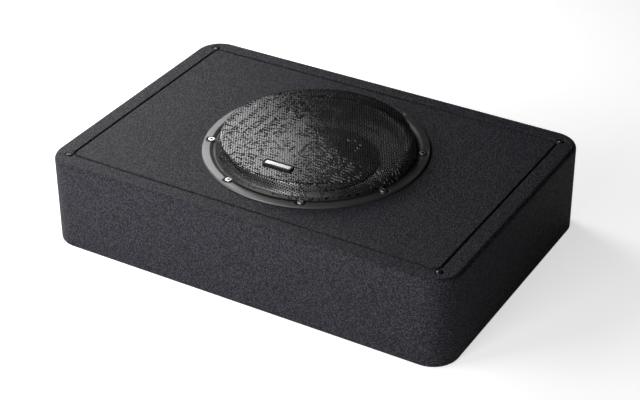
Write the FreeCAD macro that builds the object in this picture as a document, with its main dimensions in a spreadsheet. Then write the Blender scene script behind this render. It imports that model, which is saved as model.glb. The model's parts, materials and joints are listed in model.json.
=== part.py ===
import FreeCAD, Part

import math
import os

import Sketcher

# A slim powered subwoofer for a car: a coated flat box, a driver behind a steel grille in
# its top panel, and an amplifier set into its back wall.
#
# Frame: millimetres, +Z up. The origin is the centre of the underside. +X runs along the
# long side, -Y is the front and +Y is the back, where the amplifier panel is.

DIMENSIONS = {
    # Box
    "box_length": 550.0,
    "box_width": 372.0,
    "box_height": 118.0,
    "corner_round": 33.5,
    "inner_corner_round": 32.0,
    "top_edge_round": 5.5,
    "bottom_edge_round": 2.5,
    "wall_thickness": 18.0,
    "top_thickness": 18.0,
    "bottom_thickness": 12.0,
    "groove_inset": 24.6,
    "groove_width": 3.2,
    "groove_depth": 2.6,
    "groove_round": 21.3,
    "brace_inner_face": 141.0,
    "brace_thickness": 12.0,
    "brace_window_length": 76.0,
    "brace_window_height": 48.0,
    "brace_window_pitch": 100.0,
    "wadding_length": 88.0,
    "wadding_width": 290.0,
    "wadding_height": 46.0,
    "wadding_round": 16.0,
    "wadding_clearance": 1.5,
    # Corner screws of the top panel
    "corner_screw_inset": 22.2,
    "corner_screw_radius": 2.5,
    "corner_screw_length": 44.0,
    "corner_head_radius": 4.4,
    "corner_head_height": 2.4,
    "corner_seat_radius": 4.9,
    "corner_seat_depth": 1.4,
    # Driver seat in the top panel
    "cutout_radius": 119.0,
    "rebate_radius": 137.2,
    "gasket_thickness": 1.0,
    # Basket
    "flange_radius": 137.0,
    "basket_sheet": 2.0,
    "basket_mouth_radius": 115.5,
    "basket_waist_radius": 111.0,
    "basket_waist_depth": 20.0,
    "ledge_outer_radius": 78.0,
    "ledge_inner_radius": 66.0,
    "ledge_depth": 44.0,
    "basket_floor_radius": 62.0,
    "basket_floor_depth": 58.0,
    "basket_bore_radius": 30.0,
    "window_inner_radius": 78.5,
    "window_outer_radius": 107.0,
    "window_count": 6.0,
    "window_half_angle": 21.0,
    # Screws that hold the trim ring and the basket
    "driver_screw_count": 8.0,
    "driver_screw_circle": 130.2,
    "driver_screw_angle": 22.5,
    "driver_screw_radius": 2.5,
    "driver_screw_hole": 2.75,
    "driver_screw_length": 16.5,
    "driver_head_radius": 4.25,
    "driver_head_height": 2.4,
    "driver_socket_radius": 2.1,
    "driver_socket_depth": 1.6,
    # Trim ring
    "ring_outer_radius": 140.2,
    "ring_inner_radius": 126.4,
    "ring_height": 2.6,
    "ring_outer_height": 1.2,
    "ring_outer_bevel": 1.4,
    "ring_inner_bevel": 4.0,
    "ring_inner_height": 1.6,
    "notch_radius": 6.5,
    "notch_floor": 1.2,
    # Grille
    "grille_sheet": 1.0,
    "grille_foot_radius": 127.2,
    "grille_foot_clearance": 0.2,
    "grille_wall_bottom_radius": 124.3,
    "grille_wall_top_radius": 117.4,
    "grille_wall_top": 17.6,
    "grille_rim_round": 3.0,
    "grille_rim_radius": 114.6,
    "grille_height": 20.2,
    "grille_crown": 0.6,
    # Badge on the grille
    "badge_offset": 89.0,
    "badge_length": 40.0,
    "badge_width": 13.0,
    "badge_round": 4.0,
    "badge_bottom": 20.5,
    "badge_height": 2.4,
    "badge_border": 1.8,
    "badge_recess": 0.6,
    # Surround
    "surround_sheet": 1.2,
    "surround_lip_outer_radius": 122.6,
    "surround_roll_outer_radius": 119.5,
    "surround_roll_inner_radius": 103.5,
    "surround_crest_radius": 111.5,
    "surround_crest_height": 5.5,
    "surround_inner_lip_radius": 92.0,
    # Cone and dust cap
    "cone_sheet": 1.6,
    "cone_edge_radius": 103.5,
    "cone_edge_depth": 5.8,
    "cone_step_radius": 76.0,
    "cone_step_depth": 16.0,
    "cone_neck_depth": 40.0,
    "cap_sheet": 1.2,
    "cap_radius": 77.0,
    "cap_seat_width": 3.0,
    "cap_centre_depth": 24.5,
    # Voice coil
    "former_inner_radius": 25.15,
    "former_outer_radius": 25.45,
    "former_top_depth": 38.5,
    "former_bottom_depth": 75.0,
    "winding_outer_radius": 26.9,
    "winding_top_depth": 54.0,
    "winding_bottom_depth": 74.0,
    # Spider
    "spider_sheet": 0.8,
    "spider_inner_lip_radius": 30.0,
    "spider_outer_lip_radius": 65.7,
    "spider_edge_radius": 76.0,
    "spider_wave_count": 6.0,
    "spider_wave_round": 4.4,
    # Motor
    "plate_thickness": 8.0,
    "plate_outer_radius": 58.0,
    "top_plate_bore": 27.8,
    "magnet_thickness": 18.0,
    "magnet_outer_radius": 62.0,
    "magnet_bore": 33.0,
    "pole_radius": 24.3,
    "vent_radius": 8.0,
    # Driver terminals and leads
    "strip_length": 28.0,
    "strip_near": 71.0,
    "strip_far": 77.0,
    "strip_height": 14.0,
    "tab_spacing": 16.0,
    "tab_width": 6.3,
    "tab_thickness": 0.8,
    "tab_length": 12.0,
    "tab_level": 55.0,
    "lead_radius": 0.6,
    "lead_start": 92.0,
    "lead_start_depth": 50.0,
    "lead_end": 25.4,
    "lead_end_depth": 42.3,
    "lead_arch": 65.0,
    "wire_radius": 1.5,
    "wire_start": 90.0,
    "wire_start_depth": 57.5,
    "wire_end_depth": 72.0,
    "wire_arch": 60.0,
    # Amplifier panel and its seat
    "amp_centre_height": 52.0,
    "amp_face_setback": 8.0,
    "amp_plate_length": 304.0,
    "amp_plate_width": 82.0,
    "amp_plate_thickness": 3.0,
    "amp_plate_round": 4.0,
    "amp_seat_length": 306.0,
    "amp_seat_width": 84.0,
    "amp_gasket_inset": 0.5,
    "amp_gasket_thickness": 1.0,
    "amp_opening_length": 284.0,
    "amp_opening_width": 66.0,
    "fin_count": 24.0,
    "fin_pitch": 5.0,
    "fin_first": -142.0,
    "fin_thickness": 1.6,
    "fin_length": 64.0,
    "fin_height": 6.0,
    "amp_screw_columns": 5.0,
    "amp_screw_pitch": 73.5,
    "amp_screw_offset": 37.0,
    "amp_screw_radius": 1.75,
    "amp_screw_hole": 1.9,
    "amp_screw_length": 9.0,
    "amp_head_radius": 3.4,
    "amp_head_height": 2.0,
    "amp_head_socket": 1.5,
    # Amplifier cover and board
    "cover_length": 278.0,
    "cover_width": 62.0,
    "cover_depth": 44.0,
    "cover_sheet": 1.5,
    "board_length": 272.0,
    "board_width": 58.0,
    "board_thickness": 1.6,
    "board_setback": 16.0,
    "capacitor_radius": 8.0,
    "capacitor_length": 22.0,
    "capacitor_count": 4.0,
    "capacitor_pitch": 20.0,
    "capacitor_first": -110.0,
    "capacitor_row": -12.0,
    "coil_ring_radius": 15.0,
    "coil_section_radius": 7.0,
    "transistor_count": 6.0,
    "transistor_pitch": 18.0,
    "transistor_first": -130.0,
    "transistor_row": 14.0,
    "transistor_width": 10.0,
    "transistor_length": 15.0,
    "transistor_thickness": 4.5,
    "clamp_bar_width": 7.0,
    "clamp_bar_thickness": 3.0,
    "clamp_bar_overhang": 2.0,
    # Controls
    "upper_row": 17.0,
    "lower_row": -17.0,
    "gain_position": 0.0,
    "crossover_position": 30.0,
    "bass_position": 60.0,
    "knob_radius": 5.6,
    "knob_bottom": 0.8,
    "knob_top": 7.4,
    "knob_mark_width": 1.0,
    "knob_mark_depth": 0.6,
    "knob_bore_top": 4.0,
    "shaft_radius": 3.0,
    "shaft_clearance": 0.05,
    "shaft_bottom": 7.5,
    "bushing_radius": 3.5,
    "bushing_top": 0.5,
    "bushing_bottom": 8.0,
    "control_hole_radius": 3.7,
    "pot_width": 13.0,
    "phase_position": 88.0,
    "mode_position": 112.0,
    "slider_size": 3.6,
    "slider_travel": 4.0,
    "slider_top": 2.4,
    "slider_bottom": 8.0,
    "slider_side_clearance": 0.1,
    "slider_end_clearance": 0.2,
    "switch_length": 13.0,
    "switch_width": 8.0,
    "switch_top": 3.2,
    "switch_window_length": 9.4,
    "switch_window_width": 4.2,
    "led_position": 134.0,
    "led_radius": 2.0,
    "led_depth": 7.0,
    # Sockets
    "rca_left_position": -4.0,
    "rca_right_position": 16.0,
    "rca_outer_radius": 4.15,
    "rca_inner_radius": 3.5,
    "rca_length": 8.0,
    "rca_flange_radius": 6.0,
    "rca_flange_thickness": 1.0,
    "rca_hole_radius": 4.5,
    "rca_pin_hole_radius": 1.6,
    "rca_insert_top": 7.0,
    "rca_insert_bottom": 9.0,
    "remote_position": 38.0,
    "remote_length": 13.0,
    "remote_width": 11.0,
    "high_level_position": 61.0,
    "high_level_length": 19.0,
    "high_level_width": 11.0,
    "socket_wall": 1.2,
    "socket_top": 3.0,
    "socket_depth": 9.0,
    "fuse_position": 86.0,
    "fuse_holder_length": 26.0,
    "fuse_holder_width": 14.0,
    "fuse_holder_top": 2.0,
    "fuse_length": 19.0,
    "fuse_width": 4.0,
    "fuse_spacing": 6.0,
    "fuse_bottom": 5.0,
    "fuse_top": 6.5,
    "power_position": 119.0,
    "power_row": -15.0,
    "power_block_length": 35.6,
    "power_module_length": 11.6,
    "power_block_width": 24.0,
    "power_block_top": 5.0,
    "power_entry_radius": 3.3,
    "power_entry_depth": 14.0,
    "power_module_pitch": 12.0,
    "power_entry_offset": -5.0,
    "power_screw_offset": 6.0,
    "power_screw_radius": 2.6,
    "power_screw_depth": 8.0,
    "power_screw_top": 4.4,
    "power_slot_width": 0.8,
    "power_slot_depth": 0.8,
    "panel_fit_gap": 0.2,
}

PARTS_FOLDER = "parts"
PLANE_OF_AXES = {"plan": "XY_Plane", "front": "XZ_Plane", "side": "YZ_Plane"}

# Directions of the amplifier panel's own axes in the object's frame: across it to the
# right as seen from behind, up it, and out of it.
PANEL_RIGHT = FreeCAD.Vector(-1, 0, 0)
PANEL_UP = FreeCAD.Vector(0, 0, 1)
PANEL_OUT = FreeCAD.Vector(0, 1, 0)

document = FreeCAD.newDocument("powered_subwoofer")
sheet = document.addObject("Spreadsheet::Sheet", "Sheet")
sub_parts = []


def fill_sheet():
    """Write every driving dimension into the sheet under its own alias."""
    for row, (alias, value) in enumerate(DIMENSIONS.items(), start=1):
        sheet.set(f"A{row}", alias)
        sheet.set(f"B{row}", str(value))
        sheet.setAlias(f"B{row}", alias)
    document.recompute()


def size(expression):
    """The present value of an expression over the sheet."""
    return float(sheet.evalExpression(expression))


def cell(alias):
    return f"Sheet.{alias}"


# ---------------------------------------------------------------- drawing helpers


def new_body(label):
    body = document.addObject("PartDesign::Body", label)
    body.Label = label
    sub_parts.append(body)
    return body


def origin_feature(body, role):
    return next(item for item in body.Origin.OriginFeatures if item.Role == role)


def new_sketch(body, name, plane="plan", shift=("0", "0", "0")):
    """A sketch on one of the body's origin planes, moved by three expressions."""
    sketch = body.newObject("Sketcher::SketchObject", f"{body.Label}_{name}")
    sketch.AttachmentSupport = [(origin_feature(body, PLANE_OF_AXES[plane]), "")]
    sketch.MapMode = "FlatFace"
    for axis, expression in zip("xyz", shift):
        if expression != "0":
            sketch.setExpression(f"AttachmentOffset.Base.{axis}", expression)
    return sketch


def bind(sketch, kind, arguments, expression):
    """Add a dimension to a sketch and bind it to the sheet."""
    index = sketch.addConstraint(Sketcher.Constraint(kind, *arguments, size(expression)))
    sketch.setExpression(f"Constraints[{index}]", expression)


def place_point(sketch, edge, end, across, up):
    """Fix one end of an edge, or a centre, at two expressions from the sketch's origin."""
    for kind, expression, axis in (("DistanceX", across, -2), ("DistanceY", up, -1)):
        if expression == "0":
            sketch.addConstraint(Sketcher.Constraint("PointOnObject", edge, end, axis))
        else:
            bind(sketch, kind, (-1, 1, edge, end), expression)


def arc_between(start, end, radius, side):
    """The short arc from start to end that bulges to the left (1) or the right (-1)."""
    along = end - start
    left = FreeCAD.Vector(-along.y, along.x, 0).normalize()
    reach = math.sqrt(radius ** 2 - (along.Length / 2) ** 2)
    centre = (start + end) * 0.5 - left * side * reach
    first, last = (end, start) if side > 0 else (start, end)
    first_angle = math.atan2(first.y - centre.y, first.x - centre.x)
    last_angle = math.atan2(last.y - centre.y, last.x - centre.x)
    if last_angle < first_angle:
        last_angle += 2 * math.pi
    circle = Part.Circle(centre, FreeCAD.Vector(0, 0, 1), radius)
    return Part.ArcOfCircle(circle, first_angle, last_angle)


def add_loop(sketch, points, arcs=None):
    """A closed outline through points given as expressions.

    arcs maps the number of a stretch to its radius expression and to the side that it
    bulges to: 1 for the left of its direction, -1 for the right.
    """
    arcs = arcs or {}
    first = sketch.GeometryCount
    corners = [FreeCAD.Vector(size(across), size(up), 0) for across, up in points]
    starts = []
    for number, start in enumerate(corners):
        end = corners[(number + 1) % len(corners)]
        if number in arcs:
            radius, side = arcs[number]
            sketch.addGeometry(arc_between(start, end, size(radius), side), False)
        else:
            sketch.addGeometry(Part.LineSegment(start, end), False)
        edge = sketch.Geometry[first + number]
        runs_forward = (edge.StartPoint - start).Length < (edge.EndPoint - start).Length
        starts.append((1, 2) if runs_forward else (2, 1))
    for number, (across, up) in enumerate(points):
        following = (number + 1) % len(points)
        joined = (first + number, starts[number][1], first + following, starts[following][0])
        sketch.addConstraint(Sketcher.Constraint("Coincident", *joined))
        place_point(sketch, first + number, starts[number][0], across, up)
    for number, (radius, _side) in arcs.items():
        bind(sketch, "Radius", (first + number,), radius)


def add_rectangle(sketch, across, up, length, width):
    """A rectangle by its centre and its two sizes."""
    left = f"({across}) - ({length}) / 2"
    right = f"({across}) + ({length}) / 2"
    low = f"({up}) - ({width}) / 2"
    high = f"({up}) + ({width}) / 2"
    add_loop(sketch, [(left, low), (right, low), (right, high), (left, high)])


def add_circle(sketch, across, up, radius):
    centre = FreeCAD.Vector(size(across), size(up), 0)
    circle = Part.Circle(centre, FreeCAD.Vector(0, 0, 1), size(radius))
    edge = sketch.addGeometry(circle, False)
    place_point(sketch, edge, 3, across, up)
    bind(sketch, "Radius", (edge,), radius)


def pad(body, sketch, length):
    feature = body.newObject("PartDesign::Pad", f"{sketch.Label}_pad")
    feature.Profile = sketch
    feature.setExpression("Length", length)
    sketch.Visibility = False
    document.recompute()
    return feature


def pocket(body, sketch, depth):
    """Cut against the sketch's normal, and make sure that material really went."""
    before = body.Shape.Volume
    feature = body.newObject("PartDesign::Pocket", f"{sketch.Label}_pocket")
    feature.Profile = sketch
    feature.setExpression("Length", depth)
    document.recompute()
    if body.Shape.Volume >= before:
        raise RuntimeError(f"{sketch.Label} cuts nothing")
    return feature


def revolve(body, sketch):
    feature = body.newObject("PartDesign::Revolution", f"{sketch.Label}_turned")
    feature.Profile = sketch
    feature.ReferenceAxis = (sketch, ["V_Axis"])
    feature.Angle = 360
    document.recompute()
    return feature


def round_edges(body, feature, chosen, radius):
    """Round the edges of a feature for which chosen(edge) is true."""
    names = [f"Edge{number}" for number, edge in enumerate(feature.Shape.Edges, start=1)
             if chosen(edge)]
    fillet = body.newObject("PartDesign::Fillet", f"{body.Label}_round_{len(body.Group)}")
    fillet.Base = (feature, names)
    fillet.setExpression("Radius", radius)
    document.recompute()
    return fillet


def around(body, feature, count):
    """Repeat a feature evenly about the body's vertical axis."""
    pattern = body.newObject("PartDesign::PolarPattern", f"{feature.Label}_ring")
    pattern.Originals = [feature]
    pattern.Axis = (origin_feature(body, "Z_Axis"), [""])
    pattern.Angle = 360
    pattern.setExpression("Occurrences", count)
    body.Tip = pattern
    document.recompute()
    return pattern


def along_row(body, feature, count, pitch):
    """Repeat a feature along the body's first axis."""
    pattern = body.newObject("PartDesign::LinearPattern", f"{feature.Label}_row")
    pattern.Originals = [feature]
    pattern.Direction = (origin_feature(body, "X_Axis"), [""])
    pattern.Mode = "Spacing"
    pattern.setExpression("Offset", pitch)
    pattern.setExpression("Occurrences", count)
    body.Tip = pattern
    document.recompute()
    return pattern


def to_four_corners(body, feature):
    """Repeat a feature by mirroring it across the two upright middle planes."""
    pattern = body.newObject("PartDesign::MultiTransform", f"{feature.Label}_corners")
    pattern.Originals = [feature]
    mirrors = []
    for plane in ("YZ_Plane", "XZ_Plane"):
        mirror = body.newObject("PartDesign::Mirrored", f"{feature.Label}_{plane}")
        mirror.MirrorPlane = (origin_feature(body, plane), [""])
        mirrors.append(mirror)
    pattern.Transformations = mirrors
    body.Tip = pattern
    document.recompute()
    return pattern


def is_upright(edge):
    start, end = edge.Vertexes[0].Point, edge.Vertexes[-1].Point
    rise = abs(end.z - start.z)
    return rise > 1e-6 and math.isclose(rise, (end - start).Length)


def lies_at(edge, height):
    box = edge.BoundBox
    return abs(box.ZMin - height) < 1e-6 and abs(box.ZMax - height) < 1e-6


def set_on_top_panel(body):
    """Driver parts are drawn from the top face down, so lift them to that face."""
    body.setExpression("Placement.Base.z", cell("box_height"))


def set_on_amp_panel(body):
    """Amplifier parts are drawn on the panel's outer face, so turn and move them there."""
    turn = FreeCAD.Rotation(PANEL_RIGHT, PANEL_UP, PANEL_OUT)
    body.Placement = FreeCAD.Placement(FreeCAD.Vector(), turn)
    body.setExpression("Placement.Base.y", "Sheet.box_width / 2 - Sheet.amp_face_setback")
    body.setExpression("Placement.Base.z", cell("amp_centre_height"))


def turned_driver_part(label, points, arcs=None):
    """A driver part that is one profile turned about the driver's axis."""
    body = new_body(label)
    sketch = new_sketch(body, "profile", "front")
    add_loop(sketch, points, arcs)
    revolve(body, sketch)
    set_on_top_panel(body)
    return body


def panel_block(label, across, up, length, width, bottom, top):
    """A plain block on the amplifier panel, between two levels along its outward axis."""
    body = new_body(label)
    sketch = new_sketch(body, "outline", "plan", ("0", "0", bottom))
    add_rectangle(sketch, across, up, length, width)
    pad(body, sketch, f"({top}) - ({bottom})")
    set_on_amp_panel(body)
    return body


# ---------------------------------------------------------------- box

BOX_WALL_TOP = "Sheet.box_height - Sheet.top_thickness"
INNER_LENGTH = "Sheet.box_length - 2 * Sheet.wall_thickness"
INNER_WIDTH = "Sheet.box_width - 2 * Sheet.wall_thickness"
CORNER_X = "Sheet.box_length / 2 - Sheet.corner_screw_inset"
CORNER_Y = "Sheet.box_width / 2 - Sheet.corner_screw_inset"
AMP_SEAT_DEPTH = "Sheet.amp_face_setback + Sheet.amp_plate_thickness + Sheet.amp_gasket_thickness"
REBATE_DEPTH = "Sheet.basket_sheet + Sheet.gasket_thickness"


def corner_holes(body, level, radius, depth, name):
    """One round hole at each corner screw."""
    sketch = new_sketch(body, name, "plan", ("0", "0", level))
    for x_sign in ("", "-"):
        for y_sign in ("", "-"):
            add_circle(sketch, f"{x_sign}({CORNER_X})", f"{y_sign}({CORNER_Y})", radius)
    return pocket(body, sketch, depth)


def amp_screw_rows(sketch, radius):
    """Circles at the amplifier panel's screws: two rows along the panel."""
    columns = int(size(cell("amp_screw_columns")))
    for column in range(columns):
        across = f"Sheet.amp_screw_pitch * {column - columns // 2}"
        if column == columns // 2:
            across = "0"
        for sign in ("", "-"):
            add_circle(sketch, across, f"{sign}Sheet.amp_screw_offset", radius)


def build_side_walls():
    body = new_body("side_walls")
    outline = new_sketch(body, "outline")
    add_rectangle(outline, "0", "0", cell("box_length"), cell("box_width"))
    block = pad(body, outline, BOX_WALL_TOP)
    rounded = round_edges(body, block, is_upright, cell("corner_round"))
    round_edges(body, rounded, lambda edge: lies_at(edge, 0), cell("bottom_edge_round"))

    room = new_sketch(body, "room", "plan", ("0", "0", BOX_WALL_TOP))
    add_rectangle(room, "0", "0", INNER_LENGTH, INNER_WIDTH)
    room_cut = pocket(body, room, BOX_WALL_TOP)
    half_length = size(INNER_LENGTH) / 2

    def is_room_corner(edge):
        return is_upright(edge) and math.isclose(abs(edge.Vertexes[0].X), half_length)

    round_edges(body, room_cut, is_room_corner, cell("inner_corner_round"))

    # The amplifier's seat and its opening, cut outwards through the back wall.
    seat_floor = f"-(Sheet.box_width / 2 - ({AMP_SEAT_DEPTH}))"
    seat = new_sketch(body, "amp_seat", "front", ("0", "0", seat_floor))
    add_rectangle(seat, "0", cell("amp_centre_height"), cell("amp_seat_length"),
                  cell("amp_seat_width"))
    pocket(body, seat, AMP_SEAT_DEPTH)
    inner_face = "-(Sheet.box_width / 2 - Sheet.wall_thickness)"
    opening = new_sketch(body, "amp_opening", "front", ("0", "0", inner_face))
    add_rectangle(opening, "0", cell("amp_centre_height"), cell("amp_opening_length"),
                  cell("amp_opening_width"))
    pocket(body, opening, cell("wall_thickness"))
    pilots = new_sketch(body, "amp_pilots", "front", ("0", cell("amp_centre_height"), inner_face))
    amp_screw_rows(pilots, cell("amp_screw_radius"))
    pocket(body, pilots, cell("wall_thickness"))

    pilot_depth = "Sheet.corner_screw_length - Sheet.top_thickness"
    corner_holes(body, BOX_WALL_TOP, cell("corner_screw_radius"), pilot_depth, "corner_pilots")


def build_bottom_panel():
    body = new_body("bottom_panel")
    outline = new_sketch(body, "outline")
    add_rectangle(outline, "0", "0", INNER_LENGTH, INNER_WIDTH)
    board = pad(body, outline, cell("bottom_thickness"))
    round_edges(body, board, is_upright, cell("inner_corner_round"))


def build_top_panel():
    """The panel that carries the driver, with the decorative groove near its edge."""
    body = new_body("top_panel")
    outline = new_sketch(body, "outline", "plan", ("0", "0", BOX_WALL_TOP))
    add_rectangle(outline, "0", "0", cell("box_length"), cell("box_width"))
    board = pad(body, outline, cell("top_thickness"))
    rounded = round_edges(body, board, is_upright, cell("corner_round"))
    top = size(cell("box_height"))
    round_edges(body, rounded, lambda edge: lies_at(edge, top), cell("top_edge_round"))

    groove = new_sketch(body, "groove", "plan", ("0", "0", cell("box_height")))
    for sign in ("+", "-"):
        inset = f"2 * Sheet.groove_inset {sign} Sheet.groove_width"
        add_rounded_rectangle(groove, f"Sheet.box_length - ({inset})",
                              f"Sheet.box_width - ({inset})",
                              f"Sheet.groove_round - (0 {sign} Sheet.groove_width / 2)")
    pocket(body, groove, cell("groove_depth"))

    rebate = new_sketch(body, "rebate", "plan", ("0", "0", cell("box_height")))
    add_circle(rebate, "0", "0", cell("rebate_radius"))
    pocket(body, rebate, REBATE_DEPTH)
    cutout = new_sketch(body, "cutout", "plan", ("0", "0", cell("box_height")))
    add_circle(cutout, "0", "0", cell("cutout_radius"))
    pocket(body, cutout, cell("top_thickness"))
    driver_screw_holes(body, cell("box_height"), cell("driver_screw_radius"),
                       cell("top_thickness"))
    corner_holes(body, cell("box_height"), cell("corner_seat_radius"),
                 cell("corner_seat_depth"), "corner_seats")
    corner_holes(body, cell("box_height"), cell("corner_screw_radius"),
                 cell("top_thickness"), "corner_holes")


def add_rounded_rectangle(sketch, length, width, radius):
    """A rectangle about the sketch's origin whose corners are arcs."""
    x_far, y_far = f"(({length}) / 2)", f"(({width}) / 2)"
    x_near, y_near = f"({x_far} - ({radius}))", f"({y_far} - ({radius}))"
    points = [
        (f"-{x_near}", f"-{y_far}"), (x_near, f"-{y_far}"),
        (x_far, f"-{y_near}"), (x_far, y_near),
        (x_near, y_far), (f"-{x_near}", y_far),
        (f"-{x_far}", y_near), (f"-{x_far}", f"-{y_near}"),
    ]
    arcs = {number: (radius, -1) for number in (1, 3, 5, 7)}
    add_loop(sketch, points, arcs)


def driver_screw_holes(body, level, radius, depth):
    """One hole at each driver screw, starting from a level."""
    angle = math.radians(size(cell("driver_screw_angle")))
    sketch = new_sketch(body, "screw_hole", "plan", ("0", "0", level))
    across = f"Sheet.driver_screw_circle * {math.cos(angle)}"
    up = f"Sheet.driver_screw_circle * {math.sin(angle)}"
    add_circle(sketch, across, up, radius)
    hole = pocket(body, sketch, depth)
    return around(body, hole, cell("driver_screw_count"))


def build_corner_screws():
    """Domed screws that hold the top panel to the walls, one at each corner."""
    body = new_body("corner_screws")
    seat = "-Sheet.corner_seat_depth"
    tip = "-Sheet.corner_screw_length"
    crown = "Sheet.corner_head_height - Sheet.corner_seat_depth"
    dome = ("(Sheet.corner_head_radius^2 + Sheet.corner_head_height^2)"
            " / (2 * Sheet.corner_head_height)")
    sketch = new_sketch(body, "profile", "front", (CORNER_X, "0", CORNER_Y))
    points = [("0", tip), (cell("corner_screw_radius"), tip), (cell("corner_screw_radius"), seat),
              (cell("corner_head_radius"), seat), ("0", crown)]
    add_loop(sketch, points, {3: (dome, -1)})
    screw = revolve(body, sketch)
    to_four_corners(body, screw)
    set_on_top_panel(body)


def build_brace(label, side):
    """An upright rib between the bottom and top panels, opened by three windows."""
    body = new_body(label)
    inner_face = cell("brace_inner_face")
    if side < 0:
        inner_face = "-(Sheet.brace_inner_face + Sheet.brace_thickness)"
    outline = new_sketch(body, "outline", "side", ("0", "0", inner_face))
    height = f"({BOX_WALL_TOP} - Sheet.bottom_thickness)"
    middle = f"Sheet.bottom_thickness + {height} / 2"
    add_rectangle(outline, "0", middle, INNER_WIDTH, height)
    for position in (-1, 0, 1):
        across = "0" if position == 0 else f"Sheet.brace_window_pitch * {position}"
        add_rectangle(outline, across, middle, cell("brace_window_length"),
                      cell("brace_window_height"))
    pad(body, outline, cell("brace_thickness"))


def build_wadding(label, side):
    """A soft damping pad that lies on the bottom panel beside the driver."""
    body = new_body(label)
    level = "Sheet.bottom_thickness + Sheet.wadding_clearance"
    outline = new_sketch(body, "outline", "plan", ("0", "0", level))
    start = "Sheet.brace_inner_face + Sheet.brace_thickness"
    end = "Sheet.box_length / 2 - Sheet.wall_thickness"
    sign = "" if side > 0 else "-"
    add_rectangle(outline, f"{sign}({start} + {end}) / 2", "0", cell("wadding_length"),
                  cell("wadding_width"))
    cushion = pad(body, outline, cell("wadding_height"))
    round_edges(body, cushion, is_upright, cell("wadding_round"))


# ---------------------------------------------------------------- driver

CONE_SLOPE = ("((Sheet.cone_step_depth - Sheet.cone_edge_depth)"
              " / (Sheet.cone_edge_radius - Sheet.cone_step_radius))")
MOTOR_TOP = "Sheet.basket_floor_depth + Sheet.basket_sheet"
MAGNET_TOP = f"{MOTOR_TOP} + Sheet.plate_thickness"
BACK_PLATE_TOP = f"{MAGNET_TOP} + Sheet.magnet_thickness"
BACK_PLATE_BOTTOM = f"{BACK_PLATE_TOP} + Sheet.plate_thickness"


def cone_level(radius):
    """The level of the cone's upper face, outside its step, at a radius."""
    return f"-(Sheet.cone_step_depth - (({radius}) - Sheet.cone_step_radius) * {CONE_SLOPE})"


def build_driver_gasket():
    body = new_body("driver_gasket")
    outline = new_sketch(body, "outline", "plan", ("0", "0", f"-({REBATE_DEPTH})"))
    add_circle(outline, "0", "0", cell("flange_radius"))
    add_circle(outline, "0", "0", cell("cutout_radius"))
    pad(body, outline, cell("gasket_thickness"))
    driver_screw_holes(body, "-Sheet.basket_sheet", cell("driver_screw_hole"),
                       cell("gasket_thickness"))
    set_on_top_panel(body)


def build_basket():
    """The stamped steel frame: flange, two-slope wall with windows, spider ledge, floor."""
    upper = [
        (cell("flange_radius"), "0"),
        (cell("basket_mouth_radius"), "0"),
        (cell("basket_waist_radius"), "-Sheet.basket_waist_depth"),
        (cell("ledge_outer_radius"), "-Sheet.ledge_depth"),
        (cell("ledge_inner_radius"), "-Sheet.ledge_depth"),
        (cell("basket_floor_radius"), "-Sheet.basket_floor_depth"),
        (cell("basket_bore_radius"), "-Sheet.basket_floor_depth"),
    ]
    lower = [(f"{radius} + Sheet.basket_sheet", f"{level} - Sheet.basket_sheet")
             for radius, level in upper[1:-1]]
    inner_edge = (cell("basket_bore_radius"), f"{upper[-1][1]} - Sheet.basket_sheet")
    outer_edge = (cell("flange_radius"), "-Sheet.basket_sheet")
    body = turned_driver_part("basket", upper + [inner_edge] + lower[::-1] + [outer_edge])

    window = new_sketch(body, "window")
    half_angle = math.radians(size(cell("window_half_angle")))
    corners = []
    for radius, sign in (("inner", 1), ("outer", 1), ("outer", -1), ("inner", -1)):
        reach = f"Sheet.window_{radius}_radius"
        corners.append((f"{reach} * {sign * math.sin(half_angle)}",
                        f"{reach} * {math.cos(half_angle)}"))
    arcs = {1: (cell("window_outer_radius"), -1), 3: (cell("window_inner_radius"), 1)}
    add_loop(window, corners, arcs)
    cut = pocket(body, window, MOTOR_TOP)
    around(body, cut, cell("window_count"))
    driver_screw_holes(body, "0", cell("driver_screw_hole"), cell("basket_sheet"))


def build_surround():
    """The rubber half roll between the cone's edge and the basket's flange."""
    sheet_depth = "Sheet.surround_sheet"
    roll_outer = cell("surround_roll_outer_radius")
    roll_inner = cell("surround_roll_inner_radius")
    crest = cell("surround_crest_radius")
    lip_inner = cell("surround_inner_lip_radius")
    top = cell("surround_crest_height")

    def arc_radius(run, rise):
        return f"((({run})^2 + ({rise})^2) / (2 * ({rise})))"

    foot_level = f"({cone_level(roll_inner)})"
    outer_run = f"({roll_outer} - {crest})"
    inner_run = f"({crest} - {roll_inner})"
    outer_rise = f"({top} - {sheet_depth})"
    inner_rise = f"({top} - ({foot_level} + {sheet_depth}))"
    points = [
        (cell("surround_lip_outer_radius"), "0"),
        (cell("surround_lip_outer_radius"), sheet_depth),
        (roll_outer, sheet_depth),
        (crest, top),
        (roll_inner, f"{foot_level} + {sheet_depth}"),
        (lip_inner, f"{cone_level(lip_inner)} + {sheet_depth}"),
        (lip_inner, cone_level(lip_inner)),
        (roll_inner, foot_level),
        (crest, f"{top} - {sheet_depth}"),
        (roll_outer, "0"),
    ]
    arcs = {
        2: (arc_radius(outer_run, outer_rise), -1),
        3: (arc_radius(inner_rise, inner_run), -1),
        7: (arc_radius(inner_rise, inner_run), 1),
        8: (arc_radius(outer_run, outer_rise), 1),
    }
    turned_driver_part("surround", points, arcs)


def build_cone():
    upper = [
        (cell("cone_edge_radius"), "-Sheet.cone_edge_depth"),
        (cell("cone_step_radius"), "-Sheet.cone_step_depth"),
        (cell("former_outer_radius"), "-Sheet.cone_neck_depth"),
    ]
    lower = [(radius, f"{level} - Sheet.cone_sheet") for radius, level in reversed(upper)]
    turned_driver_part("cone", upper + lower)


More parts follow.
